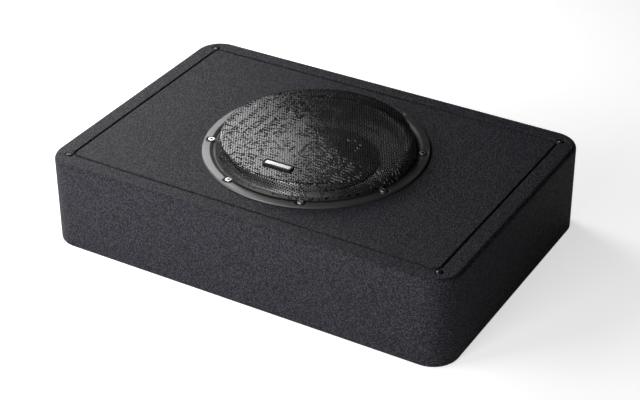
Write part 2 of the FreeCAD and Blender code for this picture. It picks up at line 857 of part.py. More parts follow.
def build_dust_cap():
    """A wide dished cap that closes the middle of the cone."""
    seat_radius = "(Sheet.cap_radius - Sheet.cap_seat_width)"
    rim_level = cone_level(cell("cap_radius"))
    seat_level = (f"-(Sheet.cone_step_depth + (Sheet.cone_step_radius - {seat_radius})"
                  " * (Sheet.cone_neck_depth - Sheet.cone_step_depth)"
                  " / (Sheet.cone_step_radius - Sheet.former_outer_radius))")
    sag = f"(Sheet.cap_centre_depth + {seat_level})"
    dish = f"(({seat_radius}^2 + {sag}^2) / (2 * {sag}))"
    points = [
        (cell("cap_radius"), rim_level),
        (cell("cap_radius"), f"{rim_level} + Sheet.cap_sheet"),
        (cell("cone_step_radius"), "Sheet.cap_sheet - Sheet.cone_step_depth"),
        (seat_radius, f"{seat_level} + Sheet.cap_sheet"),
        ("0", "Sheet.cap_sheet - Sheet.cap_centre_depth"),
        ("0", "-Sheet.cap_centre_depth"),
        (seat_radius, seat_level),
        (cell("cone_step_radius"), "-Sheet.cone_step_depth"),
    ]
    turned_driver_part("dust_cap", points, {3: (dish, 1), 5: (dish, -1)})


def turned_tube(label, inner, outer, bottom, top):
    """A plain ring or tube on the driver's axis, between two depths."""
    points = [(inner, f"-({bottom})"), (outer, f"-({bottom})"), (outer, f"-({top})"),
              (inner, f"-({top})")]
    return turned_driver_part(label, points)


def build_voice_coil():
    turned_tube("coil_former", cell("former_inner_radius"), cell("former_outer_radius"),
                cell("former_bottom_depth"), cell("former_top_depth"))
    turned_tube("coil_winding", cell("former_outer_radius"), cell("winding_outer_radius"),
                cell("winding_bottom_depth"), cell("winding_top_depth"))


def build_spider():
    """The corrugated cloth disc that centres the coil, glued to the basket's ledge."""
    waves = int(size(cell("spider_wave_count")))
    level = "-Sheet.ledge_depth"
    step = f"((Sheet.spider_outer_lip_radius - Sheet.spider_inner_lip_radius) / {waves})"
    crossings = [(f"Sheet.spider_inner_lip_radius + {number} * {step}", level)
                 for number in range(waves + 1)]
    lower = [(cell("former_outer_radius"), level)] + crossings + [(cell("spider_edge_radius"), level)]
    upper = [(radius, f"{height} + Sheet.spider_sheet") for radius, height in reversed(lower)]
    arcs = {}
    for number in range(waves):
        side = 1 if number % 2 == 0 else -1
        arcs[number + 1] = (cell("spider_wave_round"), side)
        mirrored = 2 * len(lower) - 1 - (number + 2)
        arcs[mirrored] = (cell("spider_wave_round"), -side)
    turned_driver_part("spider", lower + upper, arcs)


def build_motor():
    """Top plate, ring magnet, and the back plate with its vented pole."""
    turned_tube("top_plate", cell("top_plate_bore"), cell("plate_outer_radius"),
                MAGNET_TOP, MOTOR_TOP)
    turned_tube("magnet", cell("magnet_bore"), cell("magnet_outer_radius"),
                BACK_PLATE_TOP, MAGNET_TOP)
    points = [
        (cell("vent_radius"), f"-({BACK_PLATE_BOTTOM})"),
        (cell("plate_outer_radius"), f"-({BACK_PLATE_BOTTOM})"),
        (cell("plate_outer_radius"), f"-({BACK_PLATE_TOP})"),
        (cell("pole_radius"), f"-({BACK_PLATE_TOP})"),
        (cell("pole_radius"), f"-({MOTOR_TOP})"),
        (cell("vent_radius"), f"-({MOTOR_TOP})"),
    ]
    turned_driver_part("pole_yoke", points)


def build_trim_ring():
    """The ring over the basket's flange, with a half-round notch at each screw."""
    outer = cell("ring_outer_radius")
    inner = cell("ring_inner_radius")
    over_foot = "Sheet.grille_foot_radius + Sheet.grille_foot_clearance"
    points = [
        (over_foot, "0"),
        (outer, "0"),
        (outer, cell("ring_outer_height")),
        (f"{outer} - Sheet.ring_outer_bevel", cell("ring_height")),
        (f"{inner} + Sheet.ring_inner_bevel", cell("ring_height")),
        (inner, cell("ring_inner_height")),
        (inner, cell("grille_sheet")),
        (over_foot, cell("grille_sheet")),
    ]
    body = turned_driver_part("trim_ring", points)
    angle = math.radians(size(cell("driver_screw_angle")))
    notch = new_sketch(body, "notch", "plan", ("0", "0", cell("ring_height")))
    add_circle(notch, f"Sheet.driver_screw_circle * {math.cos(angle)}",
               f"Sheet.driver_screw_circle * {math.sin(angle)}", cell("notch_radius"))
    cut = pocket(body, notch, "Sheet.ring_height - Sheet.notch_floor")
    around(body, cut, cell("driver_screw_count"))
    driver_screw_holes(body, cell("ring_height"), cell("driver_screw_hole"),
                       cell("ring_height"))


def build_driver_screws():
    """Low socket-head screws through the ring and the flange into the top panel."""
    body = new_body("driver_screws")
    seat = cell("notch_floor")
    crown = "Sheet.notch_floor + Sheet.driver_head_height"
    tip = "-(Sheet.driver_screw_length - Sheet.notch_floor)"
    socket_floor = f"{crown} - Sheet.driver_socket_depth"
    angle = math.radians(size(cell("driver_screw_angle")))
    points = [
        ("0", tip),
        (cell("driver_screw_radius"), tip),
        (cell("driver_screw_radius"), seat),
        (cell("driver_head_radius"), seat),
        (cell("driver_head_radius"), crown),
        (cell("driver_socket_radius"), crown),
        (cell("driver_socket_radius"), socket_floor),
        ("0", socket_floor),
    ]
    across = f"Sheet.driver_screw_circle * {math.cos(angle)}"
    back = f"-Sheet.driver_screw_circle * {math.sin(angle)}"
    sketch = new_sketch(body, "profile", "front", (across, "0", back))
    add_loop(sketch, points)
    screw = revolve(body, sketch)
    around(body, screw, cell("driver_screw_count"))
    set_on_top_panel(body)


def build_grille():
    """The grille as a closed shell: crowned top, rounded rim, tapered wall and foot.

    Its round holes are finer than anything that it has to be tested for, so it is a
    plain sheet here.
    """
    sheet_size = "Sheet.grille_sheet"
    rim = cell("grille_rim_radius")
    height = cell("grille_height")
    crown = "Sheet.grille_height + Sheet.grille_crown"
    crown_round = "((Sheet.grille_rim_radius^2 + Sheet.grille_crown^2) / (2 * Sheet.grille_crown))"
    wall_top = cell("grille_wall_top_radius")
    wall_top_level = cell("grille_wall_top")
    wall_bottom = cell("grille_wall_bottom_radius")
    foot = cell("grille_foot_radius")
    points = [
        ("0", crown),
        (rim, height),
        (wall_top, wall_top_level),
        (wall_bottom, sheet_size),
        (foot, sheet_size),
        (foot, "0"),
        (f"{wall_bottom} - {sheet_size}", "0"),
        (f"{wall_top} - {sheet_size}", wall_top_level),
        (rim, f"{height} - {sheet_size}"),
        ("0", f"{crown} - {sheet_size}"),
    ]
    arcs = {
        0: (crown_round, 1),
        1: (cell("grille_rim_round"), 1),
        7: (cell("grille_rim_round"), -1),
        8: (crown_round, -1),
    }
    turned_driver_part("grille", points, arcs)


def build_badge():
    """A blank badge at the grille's front: a raised border around an inset plate."""
    shift = ("0", "-Sheet.badge_offset", cell("badge_bottom"))
    border = new_body("badge_border")
    outline = new_sketch(border, "outline", "plan", shift)
    add_rounded_rectangle(outline, cell("badge_length"), cell("badge_width"),
                          cell("badge_round"))
    pad(border, outline, cell("badge_height"))
    plate_size = ("Sheet.badge_length - 2 * Sheet.badge_border",
                  "Sheet.badge_width - 2 * Sheet.badge_border",
                  "Sheet.badge_round - Sheet.badge_border")
    floor = "Sheet.badge_bottom + Sheet.badge_height / 2"
    top_shift = ("0", "-Sheet.badge_offset", "Sheet.badge_bottom + Sheet.badge_height")
    seat = new_sketch(border, "seat", "plan", top_shift)
    add_rounded_rectangle(seat, *plate_size)
    pocket(border, seat, "Sheet.badge_height / 2")
    set_on_top_panel(border)

    plate = new_body("badge_plate")
    face = new_sketch(plate, "outline", "plan", ("0", "-Sheet.badge_offset", floor))
    add_rounded_rectangle(face, *plate_size)
    pad(plate, face, "Sheet.badge_height / 2 - Sheet.badge_recess")
    set_on_top_panel(plate)


def build_terminals():
    """The insulating strip under the basket's ledge and its two push-on tabs."""
    strip = new_body("terminal_strip")
    top_level = "-(Sheet.ledge_depth + Sheet.basket_sheet)"
    outline = new_sketch(strip, "outline", "plan",
                         ("0", "0", f"{top_level} - Sheet.strip_height"))
    add_rectangle(outline, "0", "(Sheet.strip_near + Sheet.strip_far) / 2",
                  cell("strip_length"), "Sheet.strip_far - Sheet.strip_near")
    pad(strip, outline, cell("strip_height"))
    set_on_top_panel(strip)

    tabs = new_body("terminal_tabs")
    blades = new_sketch(tabs, "outline", "plan", ("0", "0", "-Sheet.tab_level"))
    for sign in ("", "-"):
        add_rectangle(blades, f"{sign}Sheet.tab_spacing / 2",
                      "Sheet.strip_far + Sheet.tab_length / 2", cell("tab_width"),
                      cell("tab_length"))
    pad(tabs, blades, cell("tab_thickness"))
    set_on_top_panel(tabs)


def build_wire_pair(label, radius, start, end, arch, side):
    """Two parallel wires, each a round section swept along one upright arc."""
    body = new_body(label)
    for number, sign in enumerate(("", "-")):
        level = f"{sign}Sheet.tab_spacing / 2"
        path = new_sketch(body, f"path_{number}", "side", ("0", "0", level))
        first = FreeCAD.Vector(size(start[0]), size(start[1]), 0)
        last = FreeCAD.Vector(size(end[0]), size(end[1]), 0)
        path.addGeometry(arc_between(first, last, size(arch), side), False)
        arc = path.Geometry[0]
        forward = (arc.StartPoint - first).Length < (arc.EndPoint - first).Length
        ends = (1, 2) if forward else (2, 1)
        place_point(path, 0, ends[0], *start)
        place_point(path, 0, ends[1], *end)
        bind(path, "Radius", (0,), arch)
        document.recompute()
        section = body.newObject("Sketcher::SketchObject", f"{label}_section_{number}")
        section.AttachmentSupport = [(path, "Edge1")]
        section.MapMode = "NormalToEdge"
        section.MapPathParameter = 0.0 if forward else 1.0
        document.recompute()
        circle = Part.Circle(FreeCAD.Vector(), FreeCAD.Vector(0, 0, 1), size(radius))
        section.addGeometry(circle, False)
        section.addConstraint(Sketcher.Constraint("Coincident", 0, 3, -1, 1))
        bind(section, "Radius", (0,), radius)
        pipe = body.newObject("PartDesign::AdditivePipe", f"{label}_pipe_{number}")
        pipe.Profile = section
        pipe.Spine = (path, ["Edge1"])
        body.Tip = pipe
        document.recompute()
    set_on_top_panel(body)


def build_leads():
    build_wire_pair("tinsel_leads", cell("lead_radius"),
                    (cell("lead_start"), "-Sheet.lead_start_depth"),
                    (cell("lead_end"), "-Sheet.lead_end_depth"), cell("lead_arch"), -1)
    cover_back = ("Sheet.box_width / 2 - Sheet.amp_face_setback - Sheet.amp_plate_thickness"
                  " - Sheet.cover_depth - Sheet.wire_radius")
    build_wire_pair("speaker_wires", cell("wire_radius"),
                    (cell("wire_start"), "-Sheet.wire_start_depth"),
                    (cover_back, "-Sheet.wire_end_depth"), cell("wire_arch"), -1)


# ---------------------------------------------------------------- amplifier

KNOB_POSITIONS = {"gain": "gain_position", "crossover": "crossover_position",
                  "bass": "bass_position"}
SWITCH_POSITIONS = {"phase": "phase_position", "mode": "mode_position"}
RCA_POSITIONS = {"white": "rca_left_position", "red": "rca_right_position"}
PLATE_BACK = "-Sheet.amp_plate_thickness"
BOARD_FACE = "-Sheet.board_setback"
BOARD_BACK = "-(Sheet.board_setback + Sheet.board_thickness)"


def position(alias):
    """A place across the panel; the middle of the panel is the sketch's own axis."""
    return "0" if size(cell(alias)) == 0 else cell(alias)


def build_amp_panel():
    """The aluminium panel, with cooling fins on one half and openings in the other."""
    body = new_body("amp_panel")
    outline = new_sketch(body, "outline", "plan", ("0", "0", PLATE_BACK))
    add_rectangle(outline, "0", "0", cell("amp_plate_length"), cell("amp_plate_width"))
    plate = pad(body, outline, cell("amp_plate_thickness"))
    round_edges(body, plate, is_upright, cell("amp_plate_round"))

    fin = new_sketch(body, "fin")
    add_rectangle(fin, cell("fin_first"), "0", cell("fin_thickness"), cell("fin_length"))
    first_fin = pad(body, fin, cell("fin_height"))
    along_row(body, first_fin, cell("fin_count"), cell("fin_pitch"))

    gap = cell("panel_fit_gap")
    openings = new_sketch(body, "openings")
    amp_screw_rows(openings, cell("amp_screw_hole"))
    for alias in KNOB_POSITIONS.values():
        add_circle(openings, position(alias), cell("upper_row"), cell("control_hole_radius"))
    for alias in SWITCH_POSITIONS.values():
        add_rectangle(openings, cell(alias), cell("upper_row"), cell("switch_window_length"),
                      cell("switch_window_width"))
    add_circle(openings, cell("led_position"), cell("upper_row"), cell("led_radius"))
    for alias in RCA_POSITIONS.values():
        add_circle(openings, cell(alias), cell("lower_row"), cell("rca_hole_radius"))
    for name in ("remote", "high_level"):
        add_rectangle(openings, cell(f"{name}_position"), cell("lower_row"),
                      f"Sheet.{name}_length + {gap}", f"Sheet.{name}_width + {gap}")
    add_rectangle(openings, cell("fuse_position"), cell("lower_row"),
                  f"Sheet.fuse_holder_length + {gap}", f"Sheet.fuse_holder_width + {gap}")
    add_rectangle(openings, cell("power_position"), cell("power_row"),
                  f"Sheet.power_block_length + {gap}", f"Sheet.power_block_width + {gap}")
    pocket(body, openings, cell("amp_plate_thickness"))
    set_on_amp_panel(body)


def build_amp_gasket():
    """The seal between the amplifier's panel and its seat, set a little inside the plate."""
    body = new_body("amp_gasket")
    outline = new_sketch(body, "outline", "plan",
                         ("0", "0", "-(Sheet.amp_plate_thickness + Sheet.amp_gasket_thickness)"))
    add_rectangle(outline, "0", "0", "Sheet.amp_plate_length - 2 * Sheet.amp_gasket_inset",
                  "Sheet.amp_plate_width - 2 * Sheet.amp_gasket_inset")
    add_rectangle(outline, "0", "0", cell("amp_opening_length"), cell("amp_opening_width"))
    pad(body, outline, cell("amp_gasket_thickness"))
    holes = new_sketch(body, "holes", "plan", ("0", "0", PLATE_BACK))
    amp_screw_rows(holes, cell("amp_screw_hole"))
    pocket(body, holes, cell("amp_gasket_thickness"))
    set_on_amp_panel(body)


def build_amp_screws():
    """The panel's screws, in two rows, each with a socket in its head."""
    body = new_body("amp_panel_screws")
    shafts = new_sketch(body, "shafts", "plan", ("0", "0", "-Sheet.amp_screw_length"))
    amp_screw_rows(shafts, cell("amp_screw_radius"))
    pad(body, shafts, cell("amp_screw_length"))
    heads = new_sketch(body, "heads")
    amp_screw_rows(heads, cell("amp_head_radius"))
    pad(body, heads, cell("amp_head_height"))
    sockets = new_sketch(body, "sockets", "plan", ("0", "0", cell("amp_head_height")))
    amp_screw_rows(sockets, cell("amp_head_socket"))
    pocket(body, sockets, "Sheet.amp_head_height / 2")
    set_on_amp_panel(body)


def build_amp_cover():
    """The pressed box that closes the electronics off from the air in the enclosure."""
    body = new_body("amp_cover")
    outline = new_sketch(body, "outline", "plan",
                         ("0", "0", "-(Sheet.amp_plate_thickness + Sheet.cover_depth)"))
    add_rectangle(outline, "0", "0", cell("cover_length"), cell("cover_width"))
    block = pad(body, outline, cell("cover_depth"))
    round_edges(body, block, is_upright, "2 * Sheet.cover_sheet")
    room = new_sketch(body, "room", "plan", ("0", "0", PLATE_BACK))
    add_rectangle(room, "0", "0", "Sheet.cover_length - 2 * Sheet.cover_sheet",
                  "Sheet.cover_width - 2 * Sheet.cover_sheet")
    pocket(body, room, "Sheet.cover_depth - Sheet.cover_sheet")
    set_on_amp_panel(body)


def build_board():
    """The circuit board and the large pieces that it carries."""
    panel_block("circuit_board", "0", "0", cell("board_length"), cell("board_width"),
                BOARD_BACK, BOARD_FACE)

    cans = new_body("capacitors")
    sketch = new_sketch(cans, "can", "plan",
                        ("0", "0", f"{BOARD_BACK} - Sheet.capacitor_length"))
    add_circle(sketch, cell("capacitor_first"), cell("capacitor_row"), cell("capacitor_radius"))
    first_can = pad(cans, sketch, cell("capacitor_length"))
    along_row(cans, first_can, cell("capacitor_count"), cell("capacitor_pitch"))
    set_on_amp_panel(cans)

    coil = new_body("ring_inductor")
    section = new_sketch(coil, "section", "front",
                         ("0", f"{BOARD_BACK} - Sheet.coil_section_radius", "0"))
    add_circle(section, cell("coil_ring_radius"), "0", cell("coil_section_radius"))
    revolve(coil, section)
    set_on_amp_panel(coil)


def build_transistors():
    """Power transistors pressed against the panel behind its fins by a clamp bar."""
    body = new_body("power_transistors")
    sketch = new_sketch(body, "case", "plan",
                        ("0", "0", f"{PLATE_BACK} - Sheet.transistor_thickness"))
    add_rectangle(sketch, cell("transistor_first"), cell("transistor_row"),
                  cell("transistor_width"), cell("transistor_length"))
    first_case = pad(body, sketch, cell("transistor_thickness"))
    along_row(body, first_case, cell("transistor_count"), cell("transistor_pitch"))
    set_on_amp_panel(body)

    span = "(Sheet.transistor_count - 1) * Sheet.transistor_pitch"
    bar_length = f"{span} + Sheet.transistor_width + 2 * Sheet.clamp_bar_overhang"
    bar_top = f"{PLATE_BACK} - Sheet.transistor_thickness"
    panel_block("clamp_bar", f"Sheet.transistor_first + ({span}) / 2", cell("transistor_row"),
                bar_length, cell("clamp_bar_width"), f"{bar_top} - Sheet.clamp_bar_thickness",
                bar_top)


def build_potentiometers():
    """The fixed halves of the three rotary controls: case, bushing and its bore."""
    body = new_body("potentiometers")
    cases = new_sketch(body, "cases", "plan", ("0", "0", BOARD_FACE))
    for alias in KNOB_POSITIONS.values():
        add_rectangle(cases, position(alias), cell("upper_row"), cell("pot_width"),
                      cell("pot_width"))
    pad(body, cases, f"-Sheet.bushing_bottom - ({BOARD_FACE})")
    bushings = new_sketch(body, "bushings", "plan", ("0", "0", "-Sheet.bushing_bottom"))
    for alias in KNOB_POSITIONS.values():
        add_circle(bushings, position(alias), cell("upper_row"), cell("bushing_radius"))
    pad(body, bushings, "Sheet.bushing_bottom + Sheet.bushing_top")
    bores = new_sketch(body, "bores", "plan", ("0", "0", cell("bushing_top")))
    for alias in KNOB_POSITIONS.values():
        add_circle(bores, position(alias), cell("upper_row"),
                   "Sheet.shaft_radius + Sheet.shaft_clearance")
    pocket(body, bores, "Sheet.bushing_top + Sheet.shaft_bottom + 2 * Sheet.shaft_clearance")
    set_on_amp_panel(body)


def build_knob(name, alias):
    """A knob with its pointer mark, and the shaft that it is pressed onto."""
    across = position(alias)
    shaft = new_body(f"{name}_shaft")
    rod = new_sketch(shaft, "rod", "plan", ("0", "0", "-Sheet.shaft_bottom"))
    add_circle(rod, across, cell("upper_row"), cell("shaft_radius"))
    pad(shaft, rod, "Sheet.shaft_bottom + Sheet.knob_bore_top")
    set_on_amp_panel(shaft)

    knob = new_body(f"{name}_knob")
    outline = new_sketch(knob, "outline", "plan", ("0", "0", cell("knob_bottom")))
    add_circle(outline, across, cell("upper_row"), cell("knob_radius"))
    pad(knob, outline, "Sheet.knob_top - Sheet.knob_bottom")
    mark = new_sketch(knob, "mark", "plan", ("0", "0", cell("knob_top")))
    add_rectangle(mark, across, "Sheet.upper_row + Sheet.knob_radius / 2",
                  cell("knob_mark_width"), cell("knob_radius"))
    pocket(knob, mark, cell("knob_mark_depth"))
    bore = new_sketch(knob, "bore", "plan", ("0", "0", cell("knob_bore_top")))
    add_circle(bore, across, cell("upper_row"), cell("shaft_radius"))
    pocket(knob, bore, "Sheet.knob_bore_top - Sheet.knob_bottom")
    set_on_amp_panel(knob)


def build_switches():
    """Two slide switches: the fixed cases in one node, and one slider each."""
    cases = new_body("switch_cases")
    outline = new_sketch(cases, "outline", "plan", ("0", "0", BOARD_FACE))
    for alias in SWITCH_POSITIONS.values():
        add_rectangle(outline, cell(alias), cell("upper_row"), cell("switch_length"),
                      cell("switch_width"))
    pad(cases, outline, f"-Sheet.switch_top - ({BOARD_FACE})")
    slots = new_sketch(cases, "slots", "plan", ("0", "0", "-Sheet.switch_top"))
    slot_length = "Sheet.slider_size + Sheet.slider_travel + 2 * Sheet.slider_end_clearance"
    for alias in SWITCH_POSITIONS.values():
        add_rectangle(slots, cell(alias), cell("upper_row"), slot_length,
                      "Sheet.slider_size + 2 * Sheet.slider_side_clearance")
    pocket(cases, slots, "Sheet.slider_bottom - Sheet.switch_top + Sheet.slider_side_clearance")
    set_on_amp_panel(cases)
    for name, alias in SWITCH_POSITIONS.items():
        panel_block(f"{name}_slider", f"{cell(alias)} - Sheet.slider_travel / 2",
                    cell("upper_row"), cell("slider_size"), cell("slider_size"),
                    "-Sheet.slider_bottom", cell("slider_top"))


def build_power_led():
    """The status light: a round lens with a domed front."""
    body = new_body("power_led")
    radius = cell("led_radius")
    sketch = new_sketch(body, "profile", "front",
                        (cell("led_position"), "0", f"-{cell('upper_row')}"))
    add_loop(sketch, [("0", "-Sheet.led_depth"), (radius, "-Sheet.led_depth"), (radius, "0"),
                      ("0", radius)], {2: (radius, -1)})
    revolve(body, sketch)
    set_on_amp_panel(body)


def build_rca_jacks():
    """Two signal jacks in one node, and a coloured insulating insert in each."""
    jacks = new_body("rca_jacks")
    features = (
        ("roots", BOARD_FACE, "rca_outer_radius", f"-({BOARD_FACE})"),
        ("flanges", "0", "rca_flange_radius", cell("rca_flange_thickness")),
        ("barrels", cell("rca_flange_thickness"), "rca_outer_radius",
         "Sheet.rca_length - Sheet.rca_flange_thickness"),
    )
    for name, level, radius, length in features:
        sketch = new_sketch(jacks, name, "plan", ("0", "0", level))
        for alias in RCA_POSITIONS.values():
            add_circle(sketch, cell(alias), cell("lower_row"), cell(radius))
        pad(jacks, sketch, length)
    bores = new_sketch(jacks, "bores", "plan", ("0", "0", cell("rca_length")))
    for alias in RCA_POSITIONS.values():
        add_circle(bores, cell(alias), cell("lower_row"), cell("rca_inner_radius"))
    pocket(jacks, bores, "Sheet.rca_length + Sheet.rca_insert_bottom")
    set_on_amp_panel(jacks)

    for colour, alias in RCA_POSITIONS.items():
        insert = new_body(f"rca_insert_{colour}")
        ring = new_sketch(insert, "ring", "plan", ("0", "0", "-Sheet.rca_insert_bottom"))
        add_circle(ring, cell(alias), cell("lower_row"), cell("rca_inner_radius"))
        pad(insert, ring, "Sheet.rca_insert_bottom + Sheet.rca_insert_top")
        hole = new_sketch(insert, "hole", "plan", ("0", "0", cell("rca_insert_top")))
        add_circle(hole, cell(alias), cell("lower_row"), cell("rca_pin_hole_radius"))
        pocket(insert, hole, cell("rca_length"))
        set_on_amp_panel(insert)


def build_socket(label, name):
    """A rectangular plug socket through the panel, open to the outside."""
    body = panel_block(label, cell(f"{name}_position"), cell("lower_row"),
                       cell(f"{name}_length"), cell(f"{name}_width"), BOARD_FACE,
                       cell("socket_top"))
    room = new_sketch(body, "room", "plan", ("0", "0", cell("socket_top")))
    add_rectangle(room, cell(f"{name}_position"), cell("lower_row"),
                  f"Sheet.{name}_length - 2 * Sheet.socket_wall",
                  f"Sheet.{name}_width - 2 * Sheet.socket_wall")
    pocket(body, room, cell("socket_depth"))


def build_fuses():
    """The fuse holder and two flat blade fuses that stand in it."""
    holder = panel_block("fuse_holder", cell("fuse_position"), cell("lower_row"),
                         cell("fuse_holder_length"), cell("fuse_holder_width"), BOARD_FACE,
                         cell("fuse_holder_top"))
    seats = new_sketch(holder, "seats", "plan", ("0", "0", cell("fuse_holder_top")))
    fuses = new_body("fuses")
    blades = new_sketch(fuses, "outline", "plan", ("0", "0", "-Sheet.fuse_bottom"))
    for sketch in (seats, blades):
        for sign in ("+", "-"):
            add_rectangle(sketch, cell("fuse_position"),
                          f"Sheet.lower_row {sign} Sheet.fuse_spacing / 2",
                          cell("fuse_length"), cell("fuse_width"))
    pocket(holder, seats, "Sheet.fuse_holder_top + Sheet.fuse_bottom")
    pad(fuses, blades, "Sheet.fuse_bottom + Sheet.fuse_top")
    set_on_amp_panel(fuses)


def build_power_terminals():
    """The supply terminals: three modules, each with a cable entry and a clamping screw."""
    places = [cell("power_position") if step == 0
              else f"Sheet.power_position + Sheet.power_module_pitch * {step}"
              for step in (-1, 0, 1)]
    entry_row = "Sheet.power_row + Sheet.power_entry_offset"
    screw_row = "Sheet.power_row + Sheet.power_screw_offset"
    block = new_body("power_terminal_block")
    outline = new_sketch(block, "outline", "plan", ("0", "0", BOARD_FACE))
    entries = new_sketch(block, "entries", "plan", ("0", "0", cell("power_block_top")))
    wells = new_sketch(block, "wells", "plan", ("0", "0", cell("power_block_top")))
    for place in places:
        add_rectangle(outline, place, cell("power_row"), cell("power_module_length"),
                      cell("power_block_width"))
        add_circle(entries, place, entry_row, cell("power_entry_radius"))
        add_circle(wells, place, screw_row, cell("power_screw_radius"))
    pad(block, outline, f"Sheet.power_block_top - ({BOARD_FACE})")
    pocket(block, entries, cell("power_entry_depth"))
    pocket(block, wells, cell("power_screw_depth"))
    set_on_amp_panel(block)

    screws = new_body("terminal_screws")
    well_floor = "Sheet.power_block_top - Sheet.power_screw_depth"
    shanks = new_sketch(screws, "shanks", "plan", ("0", "0", well_floor))
    slots = new_sketch(screws, "slots", "plan", ("0", "0", cell("power_screw_top")))
    for place in places:
        add_circle(shanks, place, screw_row, cell("power_screw_radius"))
        add_rectangle(slots, place, screw_row, "2 * Sheet.power_screw_radius",
                      cell("power_slot_width"))
    pad(screws, shanks, f"Sheet.power_screw_top - ({well_floor})")
    pocket(screws, slots, cell("power_slot_depth"))
    set_on_amp_panel(screws)


# ---------------------------------------------------------------- whole object


def build_all():
    build_side_walls()
    build_bottom_panel()
    build_top_panel()
    build_corner_screws()
    build_brace("right_brace", 1)
    build_brace("left_brace", -1)
    build_wadding("right_wadding", 1)
    build_wadding("left_wadding", -1)
    build_driver_gasket()
    build_basket()
    build_surround()
    build_cone()
    build_dust_cap()
    build_voice_coil()
    build_spider()
    build_motor()
    build_trim_ring()
    build_driver_screws()
    build_grille()
    build_badge()
    build_terminals()
    build_leads()
    build_amp_panel()
    build_amp_gasket()
    build_amp_screws()
    build_amp_cover()
    build_board()
    build_transistors()
    build_potentiometers()
    for name, alias in KNOB_POSITIONS.items():
        build_knob(name, alias)
    build_switches()
    build_power_led()
    build_rca_jacks()
    build_socket("remote_socket", "remote")
    build_socket("high_level_socket", "high_level")
    build_fuses()
    build_power_terminals()


def check_document():
    """Stop if any object failed, or any sub-part has no valid solid."""
    document.recompute()
    problems = [item.Name for item in document.Objects
                if "Invalid" in item.State or "Error" in item.State]
    for part in sub_parts:
        shape = part.Shape
        if shape.isNull() or not shape.isValid() or not shape.Solids:
            problems.append(part.Label)
    if problems:
        raise RuntimeError(f"failed objects: {problems}")


def write_parts():
    os.makedirs(PARTS_FOLDER, exist_ok=True)
    for part in sub_parts:
        part.Shape.exportStep(os.path.join(PARTS_FOLDER, f"{part.Label}.step"))


fill_sheet()
build_all()
check_document()
write_parts()
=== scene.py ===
import json
import math

import bmesh
import bpy
import numpy as np
from mathutils import Matrix, Vector, noise


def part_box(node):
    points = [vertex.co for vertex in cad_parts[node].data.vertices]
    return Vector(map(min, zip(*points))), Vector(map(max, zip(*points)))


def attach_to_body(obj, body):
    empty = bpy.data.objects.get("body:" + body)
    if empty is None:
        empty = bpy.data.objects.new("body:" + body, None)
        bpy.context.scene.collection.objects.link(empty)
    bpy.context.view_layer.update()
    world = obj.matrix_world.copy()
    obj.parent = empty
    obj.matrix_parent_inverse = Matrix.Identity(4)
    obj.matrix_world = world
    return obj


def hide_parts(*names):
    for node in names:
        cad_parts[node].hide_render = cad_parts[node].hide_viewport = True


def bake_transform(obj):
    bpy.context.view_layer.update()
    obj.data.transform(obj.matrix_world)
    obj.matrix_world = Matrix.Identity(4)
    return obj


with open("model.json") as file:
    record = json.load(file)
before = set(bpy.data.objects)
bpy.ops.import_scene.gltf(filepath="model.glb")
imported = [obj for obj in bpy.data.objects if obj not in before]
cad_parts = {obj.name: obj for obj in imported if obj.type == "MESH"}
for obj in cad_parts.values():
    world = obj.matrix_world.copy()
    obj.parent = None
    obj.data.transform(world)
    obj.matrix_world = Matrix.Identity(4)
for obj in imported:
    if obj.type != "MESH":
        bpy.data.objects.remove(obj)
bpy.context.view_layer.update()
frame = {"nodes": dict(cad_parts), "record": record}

# The looks of a slim powered car subwoofer, built around its CAD frame: a coated box, a
# driver under a perforated steel grille, and an amplifier panel in the back wall.
# Everything is in metres, in the frame of the CAD parts.

MM = 0.001


def middle(node):
    low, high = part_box(node)
    return (low + high) / 2


def extent(node):
    low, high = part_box(node)
    return high - low


# ---------------------------------------------------------------- mesh helpers


